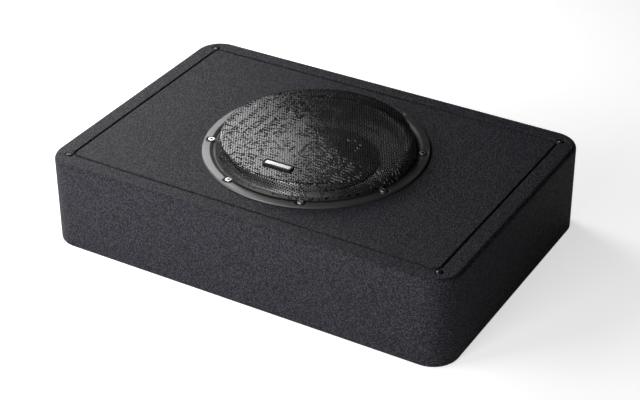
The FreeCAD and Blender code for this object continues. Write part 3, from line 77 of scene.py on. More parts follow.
class Form:
    """Points, faces and material numbers gathered for one piece."""

    def __init__(self):
        self.points = []
        self.faces = []
        self.slots = []

    def add(self, points, faces, slot=0, place=None):
        first = len(self.points)
        if place is not None:
            points = [place @ Vector(point) for point in points]
        self.points.extend(tuple(point) for point in points)
        self.faces.extend([first + number for number in face] for face in faces)
        self.slots.extend([slot] * len(faces))

    def rings(self, rings, slot=0, place=None, closed=False, caps=(True, True)):
        """Join rings of points in order. A ring of one point is a pole.

        A run of rings that isn't closed gets a flat cap on each end ring that asks for one.
        """
        points, starts, faces = [], [], []
        for ring in rings:
            starts.append(len(points))
            points.extend(ring)
        count = max(len(ring) for ring in rings)
        spans = len(rings) if closed else len(rings) - 1
        for number in range(spans):
            following = (number + 1) % len(rings)
            near, far = starts[number], starts[following]
            near_is_pole = len(rings[number]) == 1
            far_is_pole = len(rings[following]) == 1
            for step in range(count):
                after = (step + 1) % count
                if near_is_pole:
                    faces.append([near, far + after, far + step])
                elif far_is_pole:
                    faces.append([near + step, near + after, far])
                else:
                    faces.append([near + step, near + after, far + after, far + step])
        if not closed:
            for number, capped in zip((0, len(rings) - 1), caps):
                if capped and len(rings[number]) > 1:
                    faces.append([starts[number] + step for step in range(count)])
        self.add(points, faces, slot, place)

    def turned(self, profile, steps=96, slot=0, place=None, closed=False, flutes=0, depth=0.0):
        """A profile of (radius, height) points turned about the z axis."""
        rings = []
        for radius, height in profile:
            if radius < 1e-9:
                rings.append([(0.0, 0.0, height)])
                continue
            ring = []
            for step in range(steps):
                angle = 2 * math.pi * step / steps
                reach = radius - depth * (0.5 - 0.5 * math.cos(flutes * angle)) if flutes else radius
                ring.append((reach * math.cos(angle), reach * math.sin(angle), height))
            rings.append(ring)
        self.rings(rings, slot, place, closed)

    def block(self, size, radius, edge, slot=0, place=None, corner_steps=4, edge_steps=3):
        """A block about the origin with round upright corners and soft ends."""
        length, width, height = size
        rings = []
        for end in (-1, 1):
            for step in range(edge_steps + 1):
                turn = math.pi / 2 * step / edge_steps
                if end < 0:
                    inset, rise = edge * (1 - math.sin(turn)), edge * (1 - math.cos(turn))
                else:
                    inset, rise = edge * (1 - math.cos(turn)), edge * (1 - math.sin(turn))
                outline = rounded_rectangle(length - 2 * inset, width - 2 * inset,
                                            max(radius - inset, 1e-5), corner_steps)
                rings.append(at_level(outline, end * (height / 2 - rise)))
        self.rings(rings, slot, place)

    def pipe(self, path, radius, steps=12, slot=0, place=None):
        """A round tube along a path of points, with flat ends."""
        path = [Vector(point) for point in path]
        side = Vector((0.0, 0.0, 1.0))
        rings = []
        for number, point in enumerate(path):
            ahead = path[min(number + 1, len(path) - 1)]
            behind = path[max(number - 1, 0)]
            along = (ahead - behind).normalized()
            if abs(along.dot(side)) > 0.95:
                side = Vector((1.0, 0.0, 0.0))
            side = (side - along * side.dot(along)).normalized()
            up = along.cross(side)
            rings.append([point + side * (radius * math.cos(2 * math.pi * step / steps))
                          + up * (radius * math.sin(2 * math.pi * step / steps))
                          for step in range(steps)])
        self.rings(rings, slot, place)


def rounded_rectangle(length, width, radius, corner_steps=6, side_steps=1):
    """The outline of a rounded rectangle about the origin, counterclockwise."""
    across, up = length / 2 - radius, width / 2 - radius
    centres = ((across, up), (-across, up), (-across, -up), (across, -up))
    corners = []
    for number, (x, y) in enumerate(centres):
        for step in range(corner_steps + 1):
            angle = math.pi / 2 * (number + step / corner_steps)
            corners.append((x + radius * math.cos(angle), y + radius * math.sin(angle)))
    if side_steps == 1:
        return corners
    points = []
    for number, point in enumerate(corners):
        points.append(point)
        if (number + 1) % (corner_steps + 1) == 0:
            following = corners[(number + 1) % len(corners)]
            for step in range(1, side_steps):
                share = step / side_steps
                points.append((point[0] + (following[0] - point[0]) * share,
                               point[1] + (following[1] - point[1]) * share))
    return points


def at_level(outline, level):
    return [(x, y, level) for x, y in outline]


def soften(points, radius, steps=4, closed=False):
    """Round the corners of a profile; radius is one number or one for each corner."""
    radii = radius if isinstance(radius, (list, tuple)) else [radius] * len(points)
    result = []
    count = len(points)
    for number, corner in enumerate(points):
        if not closed and number in (0, count - 1) or radii[number] <= 0:
            result.append(corner)
            continue
        corner = Vector(corner)
        before = Vector(points[number - 1]) - corner
        after = Vector(points[(number + 1) % count]) - corner
        angle = before.angle(after)
        if angle > math.radians(179):
            result.append(tuple(corner))
            continue
        reach = radii[number] / math.tan(angle / 2)
        reach = min(reach, before.length * 0.48, after.length * 0.48)
        start = corner + before.normalized() * reach
        end = corner + after.normalized() * reach
        for step in range(steps + 1):
            t = step / steps
            result.append(tuple(start * (1 - t) ** 2 + corner * (2 * t * (1 - t)) + end * t ** 2))
    return result


def scaled(points, factor=MM):
    return [tuple(value * factor for value in point) for point in points]


def shade(mesh, angle=35):
    mesh.polygons.foreach_set("use_smooth", [True] * len(mesh.polygons))
    mesh.set_sharp_from_angle(angle=math.radians(angle))


def new_object(name, form, materials, angle=35):
    mesh = bpy.data.meshes.new(name)
    mesh.from_pydata(form.points, [], form.faces)
    for material in materials:
        mesh.materials.append(material)
    mesh.polygons.foreach_set("material_index", form.slots)
    work = bmesh.new()
    work.from_mesh(mesh)
    bmesh.ops.remove_doubles(work, verts=work.verts, dist=1e-7)
    bmesh.ops.recalc_face_normals(work, faces=work.faces)
    work.to_mesh(mesh)
    work.free()
    shade(mesh, angle)
    obj = bpy.data.objects.new(name, mesh)
    bpy.context.scene.collection.objects.link(obj)
    return obj


def carve(obj, form, materials, angle=35):
    """Cut a form out of an object; the cut faces take the form's materials."""
    cutter = new_object(f"{obj.name}_cutter", form, materials, angle)
    modifier = obj.modifiers.new("cut", "BOOLEAN")
    modifier.operation = "DIFFERENCE"
    modifier.solver = "EXACT"
    modifier.material_mode = "TRANSFER"
    modifier.object = cutter
    bpy.context.view_layer.update()
    evaluated = obj.evaluated_get(bpy.context.evaluated_depsgraph_get())
    mesh = bpy.data.meshes.new_from_object(evaluated)
    obj.modifiers.clear()
    obj.data = mesh
    shade(mesh, angle)
    bpy.data.objects.remove(cutter)


def attach(obj, body, slot, *nodes):
    """Let a piece ride on a body and stand for CAD nodes; the slot argument is not used."""
    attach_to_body(obj, body)
    if nodes:
        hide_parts(*nodes)
    return obj


# ---------------------------------------------------------------- materials


class Graph:
    """A material's node tree, with short calls for the nodes used here."""

    def __init__(self, name):
        self.material = bpy.data.materials.new(name)
        self.material.use_nodes = True
        self.tree = self.material.node_tree
        self.tree.nodes.clear()
        self.surface = self.node("ShaderNodeBsdfPrincipled")
        output = self.node("ShaderNodeOutputMaterial")
        self.tree.links.new(self.surface.outputs["BSDF"], output.inputs["Surface"])
        self.place = self.node("ShaderNodeTexCoord").outputs["Object"]

    def node(self, kind, **inputs):
        node = self.tree.nodes.new(kind)
        for name, value in inputs.items():
            self.put(node.inputs[name.replace("_", " ")], value)
        return node

    def put(self, target, value):
        if isinstance(value, bpy.types.NodeSocket):
            self.tree.links.new(value, target)
        else:
            target.default_value = value

    def set(self, **inputs):
        for name, value in inputs.items():
            self.put(self.surface.inputs[name.replace("_", " ")], value)

    def noise(self, scale, detail=2.0, roughness=0.5, stretch=None):
        place = self.place if stretch is None else self.stretched(stretch)
        return self.node("ShaderNodeTexNoise", Vector=place, Scale=scale, Detail=detail,
                         Roughness=roughness).outputs["Fac"]

    def cells(self, scale, feature="F1", stretch=None):
        place = self.place if stretch is None else self.stretched(stretch)
        node = self.node("ShaderNodeTexVoronoi", Vector=place, Scale=scale)
        node.feature = feature
        return node.outputs["Distance"]

    def wave(self, scale, distortion=0.0, stretch=None, bands="X", kind="BANDS"):
        place = self.place if stretch is None else self.stretched(stretch)
        node = self.node("ShaderNodeTexWave", Vector=place, Scale=scale, Distortion=distortion)
        node.wave_type = kind
        if kind == "BANDS":
            node.bands_direction = bands
        else:
            node.rings_direction = bands
        return node.outputs["Fac"]

    def stretched(self, factors):
        return self.node("ShaderNodeMapping", Vector=self.place, Scale=factors).outputs["Vector"]

    def blend(self, share, first, second):
        """A mix of two colours, or of two numbers, by a share from 0 to 1."""
        node = self.tree.nodes.new("ShaderNodeMix")
        is_colour = isinstance(first, (tuple, list)) or getattr(first, "type", "") == "RGBA"
        node.data_type = "RGBA" if is_colour else "FLOAT"
        sockets = [item for item in node.inputs if item.enabled]
        self.put(next(item for item in sockets if item.name == "Factor"), share)
        self.put(next(item for item in sockets if item.name == "A"), first)
        self.put(next(item for item in sockets if item.name == "B"), second)
        return next(item for item in node.outputs if item.enabled)

    def ramp(self, value, low, high, start=0.0, end=1.0):
        """Map a value's span from low to high onto start to end, clamped."""
        node = self.node("ShaderNodeMapRange", Value=value)
        for name, number in (("From Min", low), ("From Max", high), ("To Min", start),
                             ("To Max", end)):
            node.inputs[name].default_value = number
        return node.outputs["Result"]

    def maths(self, operation, first, second):
        node = self.tree.nodes.new("ShaderNodeMath")
        node.operation = operation
        self.put(node.inputs[0], first)
        self.put(node.inputs[1], second)
        return node.outputs[0]

    def bump(self, height, distance, strength=1.0, under=None):
        node = self.node("ShaderNodeBump", Height=height, Distance=distance, Strength=strength)
        if under is not None:
            self.put(node.inputs["Normal"], under)
        return node.outputs["Normal"]


def grey(value, tint=(1.0, 1.0, 1.0)):
    return (value * tint[0], value * tint[1], value * tint[2], 1.0)


def box_coat():
    """Charcoal pebbled coat: rounded grains of about 2 mm with fine grit between them."""
    graph = Graph("box_coat")
    tint = (0.94, 0.91, 1.30)
    grains = graph.ramp(graph.cells(560.0, "SMOOTH_F1"), 0.0, 0.7, 1.0, 0.0)
    small = graph.ramp(graph.cells(1100.0), 0.0, 0.8, 0.6, 0.0)
    grit = graph.noise(620.0, 2.0, 0.8)
    cloud = graph.noise(38.0, 3.0, 0.55)
    height = graph.maths("ADD", grains, small)
    # Painted highlight and shade: raised grain and grit are lighter, the hollows between them darker.
    grain_top_highlight = graph.ramp(height, 0.55, 1.05)
    colour = graph.blend(grain_top_highlight, grey(0.008, tint), grey(0.034, tint))
    colour = graph.blend(graph.ramp(cloud, 0.3, 0.7, 0.0, 0.3), colour, grey(0.012, tint))
    colour = graph.blend(graph.ramp(grit, 0.50, 0.66, 0.0, 0.5), colour, grey(0.060, tint))
    normal = graph.bump(height, 0.6 * MM, 1.0)
    normal = graph.bump(grit, 0.5 * MM, 1.0, normal)
    graph.set(Base_Color=colour, Roughness=graph.ramp(grit, 0.3, 0.7, 0.50, 0.66),
              Specular_IOR_Level=graph.ramp(height, 0.55, 1.05, 0.15, 0.62), Normal=normal)
    return graph.material


def painted_steel(name, level, roughness, grain=900.0, depth=0.02, metallic=0.0):
    """Powder coat or satin paint with a faint orange peel."""
    graph = Graph(name)
    peel = graph.noise(grain, 2.0)
    cloud = graph.noise(60.0, 2.0)
    colour = graph.blend(cloud, grey(level * 0.85), grey(level * 1.15))
    graph.set(Base_Color=colour, Metallic=metallic,
              Roughness=graph.ramp(cloud, 0.3, 0.7, roughness * 0.9, roughness * 1.1),
              Normal=graph.bump(peel, depth * MM, 0.6))
    return graph.material


def ring_satin():
    """Satin dark metallic finish of the trim ring, with fine turning marks."""
    graph = Graph("ring_satin")
    lines = graph.wave(420.0, 2.0, None, "Z", "RINGS")
    cloud = graph.noise(40.0, 3.0)
    colour = graph.blend(cloud, grey(0.105), grey(0.135))
    graph.set(Base_Color=colour, Metallic=0.75,
              Roughness=graph.ramp(cloud, 0.3, 0.7, 0.36, 0.44),
              Normal=graph.bump(lines, 0.004 * MM, 0.5))
    return graph.material


def metal(name, colour, roughness, marks=700.0, stretch=(1.0, 1.0, 12.0), metallic=1.0):
    """Bare or plated metal with fine brushing and a little colour change."""
    graph = Graph(name)
    brush = graph.noise(marks, 3.0, 0.6, stretch)
    cloud = graph.noise(50.0, 2.0)
    dark = tuple(value * 0.8 for value in colour[:3]) + (1.0,)
    graph.set(Base_Color=graph.blend(cloud, dark, tuple(colour)), Metallic=metallic,
              Roughness=graph.ramp(brush, 0.3, 0.7, roughness * 0.8, roughness * 1.2),
              Normal=graph.bump(brush, 0.01 * MM, 0.6))
    return graph.material


def plastic(name, colour, roughness, grain=2400.0, depth=0.03, spread=0.12, **extra):
    """Moulded plastic or rubber with a fine spark-eroded grain."""
    graph = Graph(name)
    grit = graph.noise(grain, 2.0, 0.6)
    cloud = graph.noise(80.0, 2.0)
    dark = tuple(value * (1 - spread) for value in colour[:3]) + (1.0,)
    light = tuple(min(value * (1 + spread), 1.0) for value in colour[:3]) + (1.0,)
    graph.set(Base_Color=graph.blend(cloud, dark, light),
              Roughness=graph.ramp(grit, 0.3, 0.7, roughness * 0.85, roughness * 1.15),
              Normal=graph.bump(grit, depth * MM, 0.7), **extra)
    return graph.material


def pressed_cone():
    """Dark grey pressed pulp with short fibres and faint pressing rings."""
    graph = Graph("cone_material")
    fibres = graph.noise(650.0, 6.0, 0.7)
    rings = graph.wave(300.0, 0.6, None, "Z", "RINGS")
    colour = graph.blend(graph.ramp(fibres, 0.35, 0.65), grey(0.13), grey(0.23))
    height = graph.maths("ADD", fibres, graph.maths("MULTIPLY", rings, 0.35))
    graph.set(Base_Color=colour, Roughness=0.55, Normal=graph.bump(height, 0.08 * MM, 0.8))
    return graph.material


def woven(name, dark, light, pitch):
    """A plain weave of two crossed sets of threads."""
    graph = Graph(name)
    warp = graph.wave(0.5 / pitch / 3.14, 0.3, None, "X")
    weft = graph.wave(0.5 / pitch / 3.14, 0.3, None, "Y")
    height = graph.maths("MULTIPLY", warp, weft)
    # Painted shade: the cloth is darker where the threads dip between crossings.
    colour = graph.blend(graph.ramp(height, 0.1, 0.7), dark, light)
    graph.set(Base_Color=colour, Roughness=0.85, Normal=graph.bump(height, 0.2 * MM, 0.8))
    return graph.material


def fibreboard():
    graph = Graph("fibreboard")
    specks = graph.noise(900.0, 5.0, 0.75)
    layers = graph.noise(120.0, 4.0, 0.6, (1.0, 1.0, 0.3))
    colour = graph.blend(graph.ramp(specks, 0.35, 0.65), (0.20, 0.13, 0.075, 1.0),
                         (0.42, 0.30, 0.19, 1.0))
    colour = graph.blend(graph.ramp(layers, 0.4, 0.7, 0.0, 0.5), colour,
                         (0.30, 0.20, 0.12, 1.0))
    graph.set(Base_Color=colour, Roughness=0.85, Normal=graph.bump(specks, 0.08 * MM, 0.8))
    return graph.material


def wadding():
    graph = Graph("wadding")
    strands = graph.noise(420.0, 8.0, 0.75, (1.0, 0.35, 1.0))
    tufts = graph.noise(60.0, 4.0, 0.6)
    colour = graph.blend(graph.ramp(strands, 0.35, 0.7), grey(0.50), grey(0.80))
    height = graph.maths("ADD", strands, tufts)
    graph.set(Base_Color=colour, Roughness=0.95, Normal=graph.bump(height, 0.8 * MM, 0.9))
    return graph.material


def wound_wire(name, colour, pitch, direction="Z"):
    """Enamelled wire laid in close turns, painted darker in the grooves between turns as shade."""
    graph = Graph(name)
    turns = graph.wave(0.5 / pitch / 3.14, 0.0, None, direction)
    # Painted shade: dark bands between the turns.
    dark = tuple(value * 0.35 for value in colour[:3]) + (1.0,)
    graph.set(Base_Color=graph.blend(graph.ramp(turns, 0.05, 0.5), dark, tuple(colour)),
              Metallic=0.85, Roughness=0.32, Normal=graph.bump(turns, 0.1 * MM, 0.9))
    return graph.material


def circuit_board():
    """Green solder resist over copper tracks, with rows of bright pads."""
    graph = Graph("board_green")
    tracks = graph.cells(260.0, "DISTANCE_TO_EDGE", (1.0, 1.0, 0.25))
    pads = graph.cells(330.0)
    colour = graph.blend(graph.ramp(tracks, 0.10, 0.12), (0.012, 0.10, 0.045, 1.0),
                         (0.008, 0.055, 0.028, 1.0))
    colour = graph.blend(graph.ramp(pads, 0.14, 0.12), colour, (0.65, 0.62, 0.55, 1.0))
    graph.set(Base_Color=colour, Roughness=0.35, Normal=graph.bump(tracks, 0.03 * MM, 0.6))
    return graph.material


def lit_lens():
    graph = Graph("led_lens")
    haze = graph.noise(900.0, 2.0)
    graph.set(Base_Color=graph.blend(haze, (0.02, 0.16, 0.55, 1.0), (0.06, 0.30, 0.85, 1.0)),
              Roughness=0.22, Transmission_Weight=0.35,
              Emission_Color=(0.05, 0.3, 1.0, 1.0), Emission_Strength=0.35)
    return graph.material


def make_materials():
    plain = {
        "box_coat": box_coat(),
        "fibreboard": fibreboard(),
        "wadding": wadding(),
        "foam": plastic("foam", grey(0.03), 0.95, 1500.0, 0.15),
        "black_steel": painted_steel("black_steel", 0.022, 0.42),
        "grille_black": painted_steel("grille_black", 0.12, 0.20, 1500.0, 0.001, 1.0),
        # The grille's wall: a rougher copy of the grille steel, painted darker as shade.
        "grille_wall_painted_shade": painted_steel("grille_wall_painted_shade", 0.08, 0.33, 1500.0, 0.001, 1.0),
        "surround_rubber": plastic("surround_rubber", grey(0.13), 0.38, 1800.0, 0.02),
        "cone_material": pressed_cone(),
        "cap_material": plastic("cap_material", grey(0.055), 0.38, 1200.0, 0.03),
        "spider_cloth": woven("spider_cloth", (0.28, 0.19, 0.07, 1.0),
                              (0.62, 0.48, 0.22, 1.0), 0.6 * MM),
        "former_metal": metal("former_metal", (0.75, 0.75, 0.76, 1.0), 0.32),
        "copper": wound_wire("copper", (0.72, 0.36, 0.18, 1.0), 0.35 * MM),
        "plated_steel": metal("plated_steel", (0.50, 0.50, 0.52, 1.0), 0.38),
        "ferrite": plastic("ferrite", grey(0.035), 0.62, 900.0, 0.06),
        "ring_satin": ring_satin(),
        # Near-black painted shade for the ring's notches and inner bevel, and for the grille's foot
        # band, hole walls and back face.
        "painted_shade_black": painted_steel("painted_shade_black", 0.008, 0.55),
        "bright_screw": metal("bright_screw", (0.62, 0.62, 0.64, 1.0), 0.34),
        # Near-black painted shade inside the screws' sockets.
        "socket_painted_shade": plastic("socket_painted_shade", grey(0.006), 0.7),
        "black_screw": painted_steel("black_screw", 0.012, 0.22, 2600.0, 0.008),
        "badge_black": plastic("badge_black", grey(0.006), 0.45, 900.0, 0.006, Specular_IOR_Level=0.2),
        "badge_silver": metal("badge_silver", (0.78, 0.78, 0.79, 1.0), 0.52, 1400.0,
                              (0.08, 1.0, 1.0)),
        "phenolic": plastic("phenolic", (0.10, 0.055, 0.03, 1.0), 0.6, 800.0, 0.04),
        "tab_brass": metal("tab_brass", (0.72, 0.64, 0.42, 1.0), 0.34),
        "jacket_red": plastic("jacket_red", (0.42, 0.02, 0.02, 1.0), 0.45),
        "jacket_black": plastic("jacket_black", grey(0.015), 0.45),
        "amp_aluminium": metal("amp_aluminium", (0.035, 0.035, 0.038, 1.0), 0.42, 1100.0,
                               (0.05, 1.0, 1.0), 0.6),
        "legend_white": plastic("legend_white", grey(0.62), 0.5),
        "cover_steel": metal("cover_steel", (0.48, 0.49, 0.50, 1.0), 0.40, 180.0,
                             (1.0, 1.0, 1.0)),
        "board_green": circuit_board(),
        "can_sleeve": plastic("can_sleeve", (0.015, 0.018, 0.05, 1.0), 0.28, 900.0, 0.01),
        "case_black": plastic("case_black", grey(0.022), 0.50),
        "knob_plastic": plastic("knob_plastic", grey(0.020), 0.46),
        "shaft_plastic": plastic("shaft_plastic", grey(0.70), 0.5),
        "slider_plastic": plastic("slider_plastic", grey(0.62), 0.5),
        "led_lens": lit_lens(),
        "nickel": metal("nickel", (0.72, 0.70, 0.66, 1.0), 0.20),
        "insert_white": plastic("insert_white", grey(0.80), 0.4),
        "insert_red": plastic("insert_red", (0.60, 0.02, 0.02, 1.0), 0.4),
        "fuse_plastic": plastic("fuse_plastic", (0.03, 0.42, 0.12, 1.0), 0.25,
                                Transmission_Weight=0.3),
    }
    return plain


MATERIALS = make_materials()
CAD_SLOTS = {part["node"]: part["material_slot"] for part in frame["record"]["subparts"]}


def finish_cad_node(node, material=None):
    """Give a carried-over CAD node its procedural material."""
    obj = frame["nodes"][node]
    name = material or CAD_SLOTS[node]
    obj.data.materials.clear()
    obj.data.materials.append(MATERIALS[name])


# ---------------------------------------------------------------- box

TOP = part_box("top_panel")[1].z
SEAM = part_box("top_panel")[0].z
BOX_LENGTH = extent("top_panel").x
BOX_WIDTH = extent("top_panel").y
CORNER_ROUND = 33.5 * MM
ROOM_LENGTH = extent("bottom_panel").x
ROOM_WIDTH = extent("bottom_panel").y
ROOM_ROUND = 32.0 * MM
TOP_EDGE = 5.5 * MM
GROOVE_INSET = 24.6 * MM
GROOVE_WIDTH = 3.2 * MM
GROOVE_DEPTH = 2.6 * MM
CORNER_STEPS = 14
SIDE_STEPS = 12


def box_ring(inset, level):
    """A ring of points inside the box's outline by an inset, at a level."""
    outline = rounded_rectangle(BOX_LENGTH - 2 * inset, BOX_WIDTH - 2 * inset,
                                CORNER_ROUND - inset, CORNER_STEPS, SIDE_STEPS)
    return at_level(outline, level)


def room_ring(inset, level):
    outline = rounded_rectangle(ROOM_LENGTH + 2 * inset, ROOM_WIDTH + 2 * inset,
                                ROOM_ROUND + inset, CORNER_STEPS, SIDE_STEPS)
    return at_level(outline, level)


def quarter(radius, steps=5):
    """Inset and rise of points along a quarter round, from its side to its top."""
    return [(radius * (1 - math.cos(math.pi / 2 * step / steps)),
             radius * math.sin(math.pi / 2 * step / steps)) for step in range(steps + 1)]


def circle_ring(template, radius, level):
    """A ring on a circle whose points face the template's points."""
    ring = []
    for x, y, _z in template:
        reach = math.hypot(x, y)
        ring.append((x / reach * radius, y / reach * radius, level))
    return ring


def between(first, second, share):
    return [tuple(a + (b - a) * share for a, b in zip(near, far))
            for near, far in zip(first, second)]


def build_side_walls():
    form = Form()
    bottom = 2.5 * MM
    rings = [room_ring(0.0, SEAM), room_ring(0.0, 1.0 * MM), room_ring(0.8 * MM, 0.0)]
    rings += [box_ring(inset, level) for level, inset in
              [(bottom - rise, inset) for inset, rise in reversed(quarter(bottom))]]
    rings += [box_ring(0.0, level) for level in (0.03, 0.06, SEAM)]
    form.rings(rings, closed=True)
    walls = new_object("box_walls", form, [MATERIALS["box_coat"]])
    carve_amp_seat(walls)
    return attach(walls, "enclosure", "box_coat", "side_walls")


AMP_PLACE = Matrix(((-1.0, 0.0, 0.0, 0.0), (0.0, 0.0, 1.0, 0.0), (0.0, 1.0, 0.0, 0.0),
                    (0.0, 0.0, 0.0, 1.0)))
PANEL_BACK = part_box("amp_panel")[0].y
PANEL_THICKNESS = 3.0 * MM
PANEL_FACE = PANEL_BACK + PANEL_THICKNESS
AMP_PLACE.translation = Vector((0.0, PANEL_FACE, middle("amp_panel").z))


def on_panel(across, up, out=0.0):
    """A place on the amplifier panel, seen from behind the box, in metres."""
    return AMP_PLACE @ Matrix.Translation((across, up, out))


def panel_spot(node):
    """Across and up of a node's middle on the amplifier panel."""
    spot = AMP_PLACE.inverted() @ middle(node)
    return spot.x, spot.y


def carve_amp_seat(walls):
    """The amplifier's seat, with a soft outer lip, and the opening behind it."""
    back = BOX_WIDTH / 2 - PANEL_FACE
    floor = -(PANEL_THICKNESS + 1.0 * MM)
    length, width = 306.0 * MM, 84.0 * MM
    lip = 2.0 * MM
    seat = Form()
    rings = [at_level(rounded_rectangle(length, width, 4.5 * MM, 6), floor)]
    for inset, rise in quarter(lip, 4):
        rings.append(at_level(rounded_rectangle(length + 2 * inset, width + 2 * inset,
                                                4.5 * MM + inset, 6), back - lip + rise))
    rings.append(at_level(rounded_rectangle(length + 3 * lip, width + 3 * lip, 7 * MM, 6),
                          back + 3 * MM))
    seat.rings(rings, place=AMP_PLACE)
    carve(walls, seat, [MATERIALS["box_coat"]])
    opening = Form()
    opening.block((284 * MM, 66 * MM, 40 * MM), 5 * MM, 1 * MM, place=on_panel(0, 0, -20 * MM))
    carve(walls, opening, [MATERIALS["fibreboard"]])


def build_bottom_panel():
    form = Form()
    thickness = extent("bottom_panel").z
    gap = 0.15 * MM
    rings = [room_ring(-gap, thickness), room_ring(-gap, 1.2 * MM), room_ring(-1.2 * MM, 0.0)]
    form.rings(rings)
    panel = new_object("base_board", form, [MATERIALS["box_coat"]])
    return attach(panel, "enclosure", "box_coat", "bottom_panel")


def groove_rings():
    """Rings across the groove near the top panel's edge, from outside to inside."""
    lip = 0.7 * MM
    outer = GROOVE_INSET - GROOVE_WIDTH / 2
    inner = GROOVE_INSET + GROOVE_WIDTH / 2
    profile = [(outer - 3 * lip, 0.0), (outer, 0.0), (outer + 0.3 * MM, -GROOVE_DEPTH),
               (inner - 0.3 * MM, -GROOVE_DEPTH), (inner, 0.0), (inner + 3 * lip, 0.0)]
    curve = soften(profile, [0, lip, 0.9 * MM, 0.9 * MM, lip, 0], 4)
    return [box_ring(inset, TOP + level) for inset, level in curve]


def build_top_panel():
    form = Form()
    rings = [box_ring(0.0, SEAM), box_ring(0.0, SEAM + 6 * MM)]
    rings += [box_ring(inset, TOP - TOP_EDGE + rise) for inset, rise in quarter(TOP_EDGE, 8)]
    rings.append(box_ring(14 * MM, TOP))
    rings += groove_rings()
    field = box_ring(GROOVE_INSET + 6 * MM, TOP)
    rebate = 137.6 * MM
    edge = circle_ring(field, rebate + 0.8 * MM, TOP)
    rings += [between(field, edge, share / 6) for share in range(7)]
    rings.append(circle_ring(field, rebate, TOP - 0.6 * MM))
    rings.append(circle_ring(field, rebate, TOP - 3.0 * MM))
    cutout = 119.0 * MM
    rings.append(circle_ring(field, cutout, TOP - 3.0 * MM))
    rings.append(circle_ring(field, cutout, SEAM))
    rings += [between(circle_ring(field, cutout, SEAM), box_ring(0.0, SEAM), share / 5)
              for share in range(1, 5)]
    form.rings(rings, closed=True)
    lid = new_object("box_lid", form, [MATERIALS["box_coat"]])
    seats = Form()
    for x_sign in (-1, 1):
        for y_sign in (-1, 1):
            place = Matrix.Translation((x_sign * (BOX_LENGTH / 2 - 22.2 * MM),
                                        y_sign * (BOX_WIDTH / 2 - 22.2 * MM), TOP))
            profile = scaled([(0, -1.4), (4.9, -1.4), (4.95, -0.7), (5.2, -0.2), (5.8, 0.05),
                              (7.0, 0.4), (0, 0.4)])
            seats.turned(profile, 48, place=place)
    carve(lid, seats, [MATERIALS["box_coat"]])
    return attach(lid, "enclosure", "box_coat", "top_panel")


def build_corner_screws():
    """Domed black screws with a small six-sided recess."""
    form = Form()
    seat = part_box("corner_screws")[1].z - 2.4 * MM
    dome = [(4.4 * math.cos(turn), 2.4 * math.sin(turn))
            for turn in (math.radians(angle) for angle in (0, 12, 25, 38, 50, 61, 68))]
    for x_sign in (-1, 1):
        for y_sign in (-1, 1):
            place = Matrix.Translation((x_sign * (BOX_LENGTH / 2 - 22.2 * MM),
                                        y_sign * (BOX_WIDTH / 2 - 22.2 * MM), seat))
            add_socket_head(form, place, dome, 1.35, 0.9, 12.0, 2.4)
    screws = new_object("lid_screws", form,
                        [MATERIALS["black_screw"], MATERIALS["socket_painted_shade"]], 40)
    return attach(screws, "enclosure", "black_screw", "corner_screws")


def add_socket_head(form, place, outer, socket, depth, shank, shank_radius, steps=48):
    """A screw head from its outer profile, with a six-sided socket whose inside is painted near-black
    as shade; sizes in mm.
    """
    top = outer[-1][1]

    def circle(radius, level):
        return [(radius * math.cos(2 * math.pi * step / steps) * MM,
                 radius * math.sin(2 * math.pi * step / steps) * MM, level * MM)
                for step in range(steps)]

    def hexagon(radius, level):
        ring = []
        for step in range(steps):
            angle = 2 * math.pi * step / steps
            off = (angle + math.pi / 6) % (math.pi / 3) - math.pi / 6
            reach = radius * math.cos(math.pi / 6) / math.cos(off)
            ring.append((reach * math.cos(angle) * MM, reach * math.sin(angle) * MM, level * MM))
        return ring

    rings = [circle(shank_radius, -shank), circle(shank_radius, 0.0)]
    rings += [circle(radius, level) for radius, level in outer]
    form.rings(rings + [hexagon(socket * 1.08, top), hexagon(socket, top - 0.15)], 0, place,
               caps=(True, False))
    # Painted shade: the socket's well takes the second, near-black material.
    well = [hexagon(socket, top - 0.15), hexagon(socket * 0.96, top - depth),
            [(0.0, 0.0, (top - depth - 0.25) * MM)]]
    form.rings(well, 1, place, caps=(False, False))


# ---------------------------------------------------------------- driver

DRIVER_SCREWS = 8
SCREW_CIRCLE = 130.2 * MM
DRIVER_TOP = Matrix.Translation((0.0, 0.0, TOP))


def screw_places(level):
    """The places of the driver's screws, evenly around its axis."""
    for number in range(DRIVER_SCREWS):
        angle = 2 * math.pi * (number + 0.5) / DRIVER_SCREWS
        yield Matrix.Translation((SCREW_CIRCLE * math.cos(angle),
                                  SCREW_CIRCLE * math.sin(angle), level))


def build_trim_ring():
    """The satin ring; the notch around each screw and its inner bevel are painted near-black as shade.
    """
    low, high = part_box("trim_ring")
    outer = (high.x - low.x) / 2 / MM
    chamfer = 130.2 * MM
    form = Form()
    profile = [(127.4, 0.0), (outer, 0.0), (outer, 1.2), (outer - 1.4, 2.6), (130.4, 2.6),
               (126.5, 1.6), (126.4, 1.0), (127.4, 1.0)]
    radii = [0, 0.2, 0.5, 0.8, 0.35, 0.3, 0.1, 0]
    form.turned(scaled(soften(profile, radii, 4, True)), 288, closed=True, place=DRIVER_TOP)
    ring = new_object("trim_ring_satin", form,
                      [MATERIALS["ring_satin"], MATERIALS["painted_shade_black"]], 30)
    # Painted shade: the inner bevel takes the near-black material.
    for face in ring.data.polygons:
        if math.hypot(face.center.x, face.center.y) < chamfer:
            face.material_index = 1
    # Painted shade: the notch floors and walls take the near-black material.
    notches = Form()
    profile = scaled([(0, 1.2), (6.2, 1.2), (6.5, 1.5), (6.5, 2.2), (6.6, 2.45), (6.9, 2.62),
                      (7.6, 3.6), (0, 3.6)])
    for place in screw_places(TOP):
        notches.turned(profile, 56, place=place)
    carve(ring, notches, [MATERIALS["painted_shade_black"]], 30)
    return attach(ring, "enclosure", "ring_satin", "trim_ring")


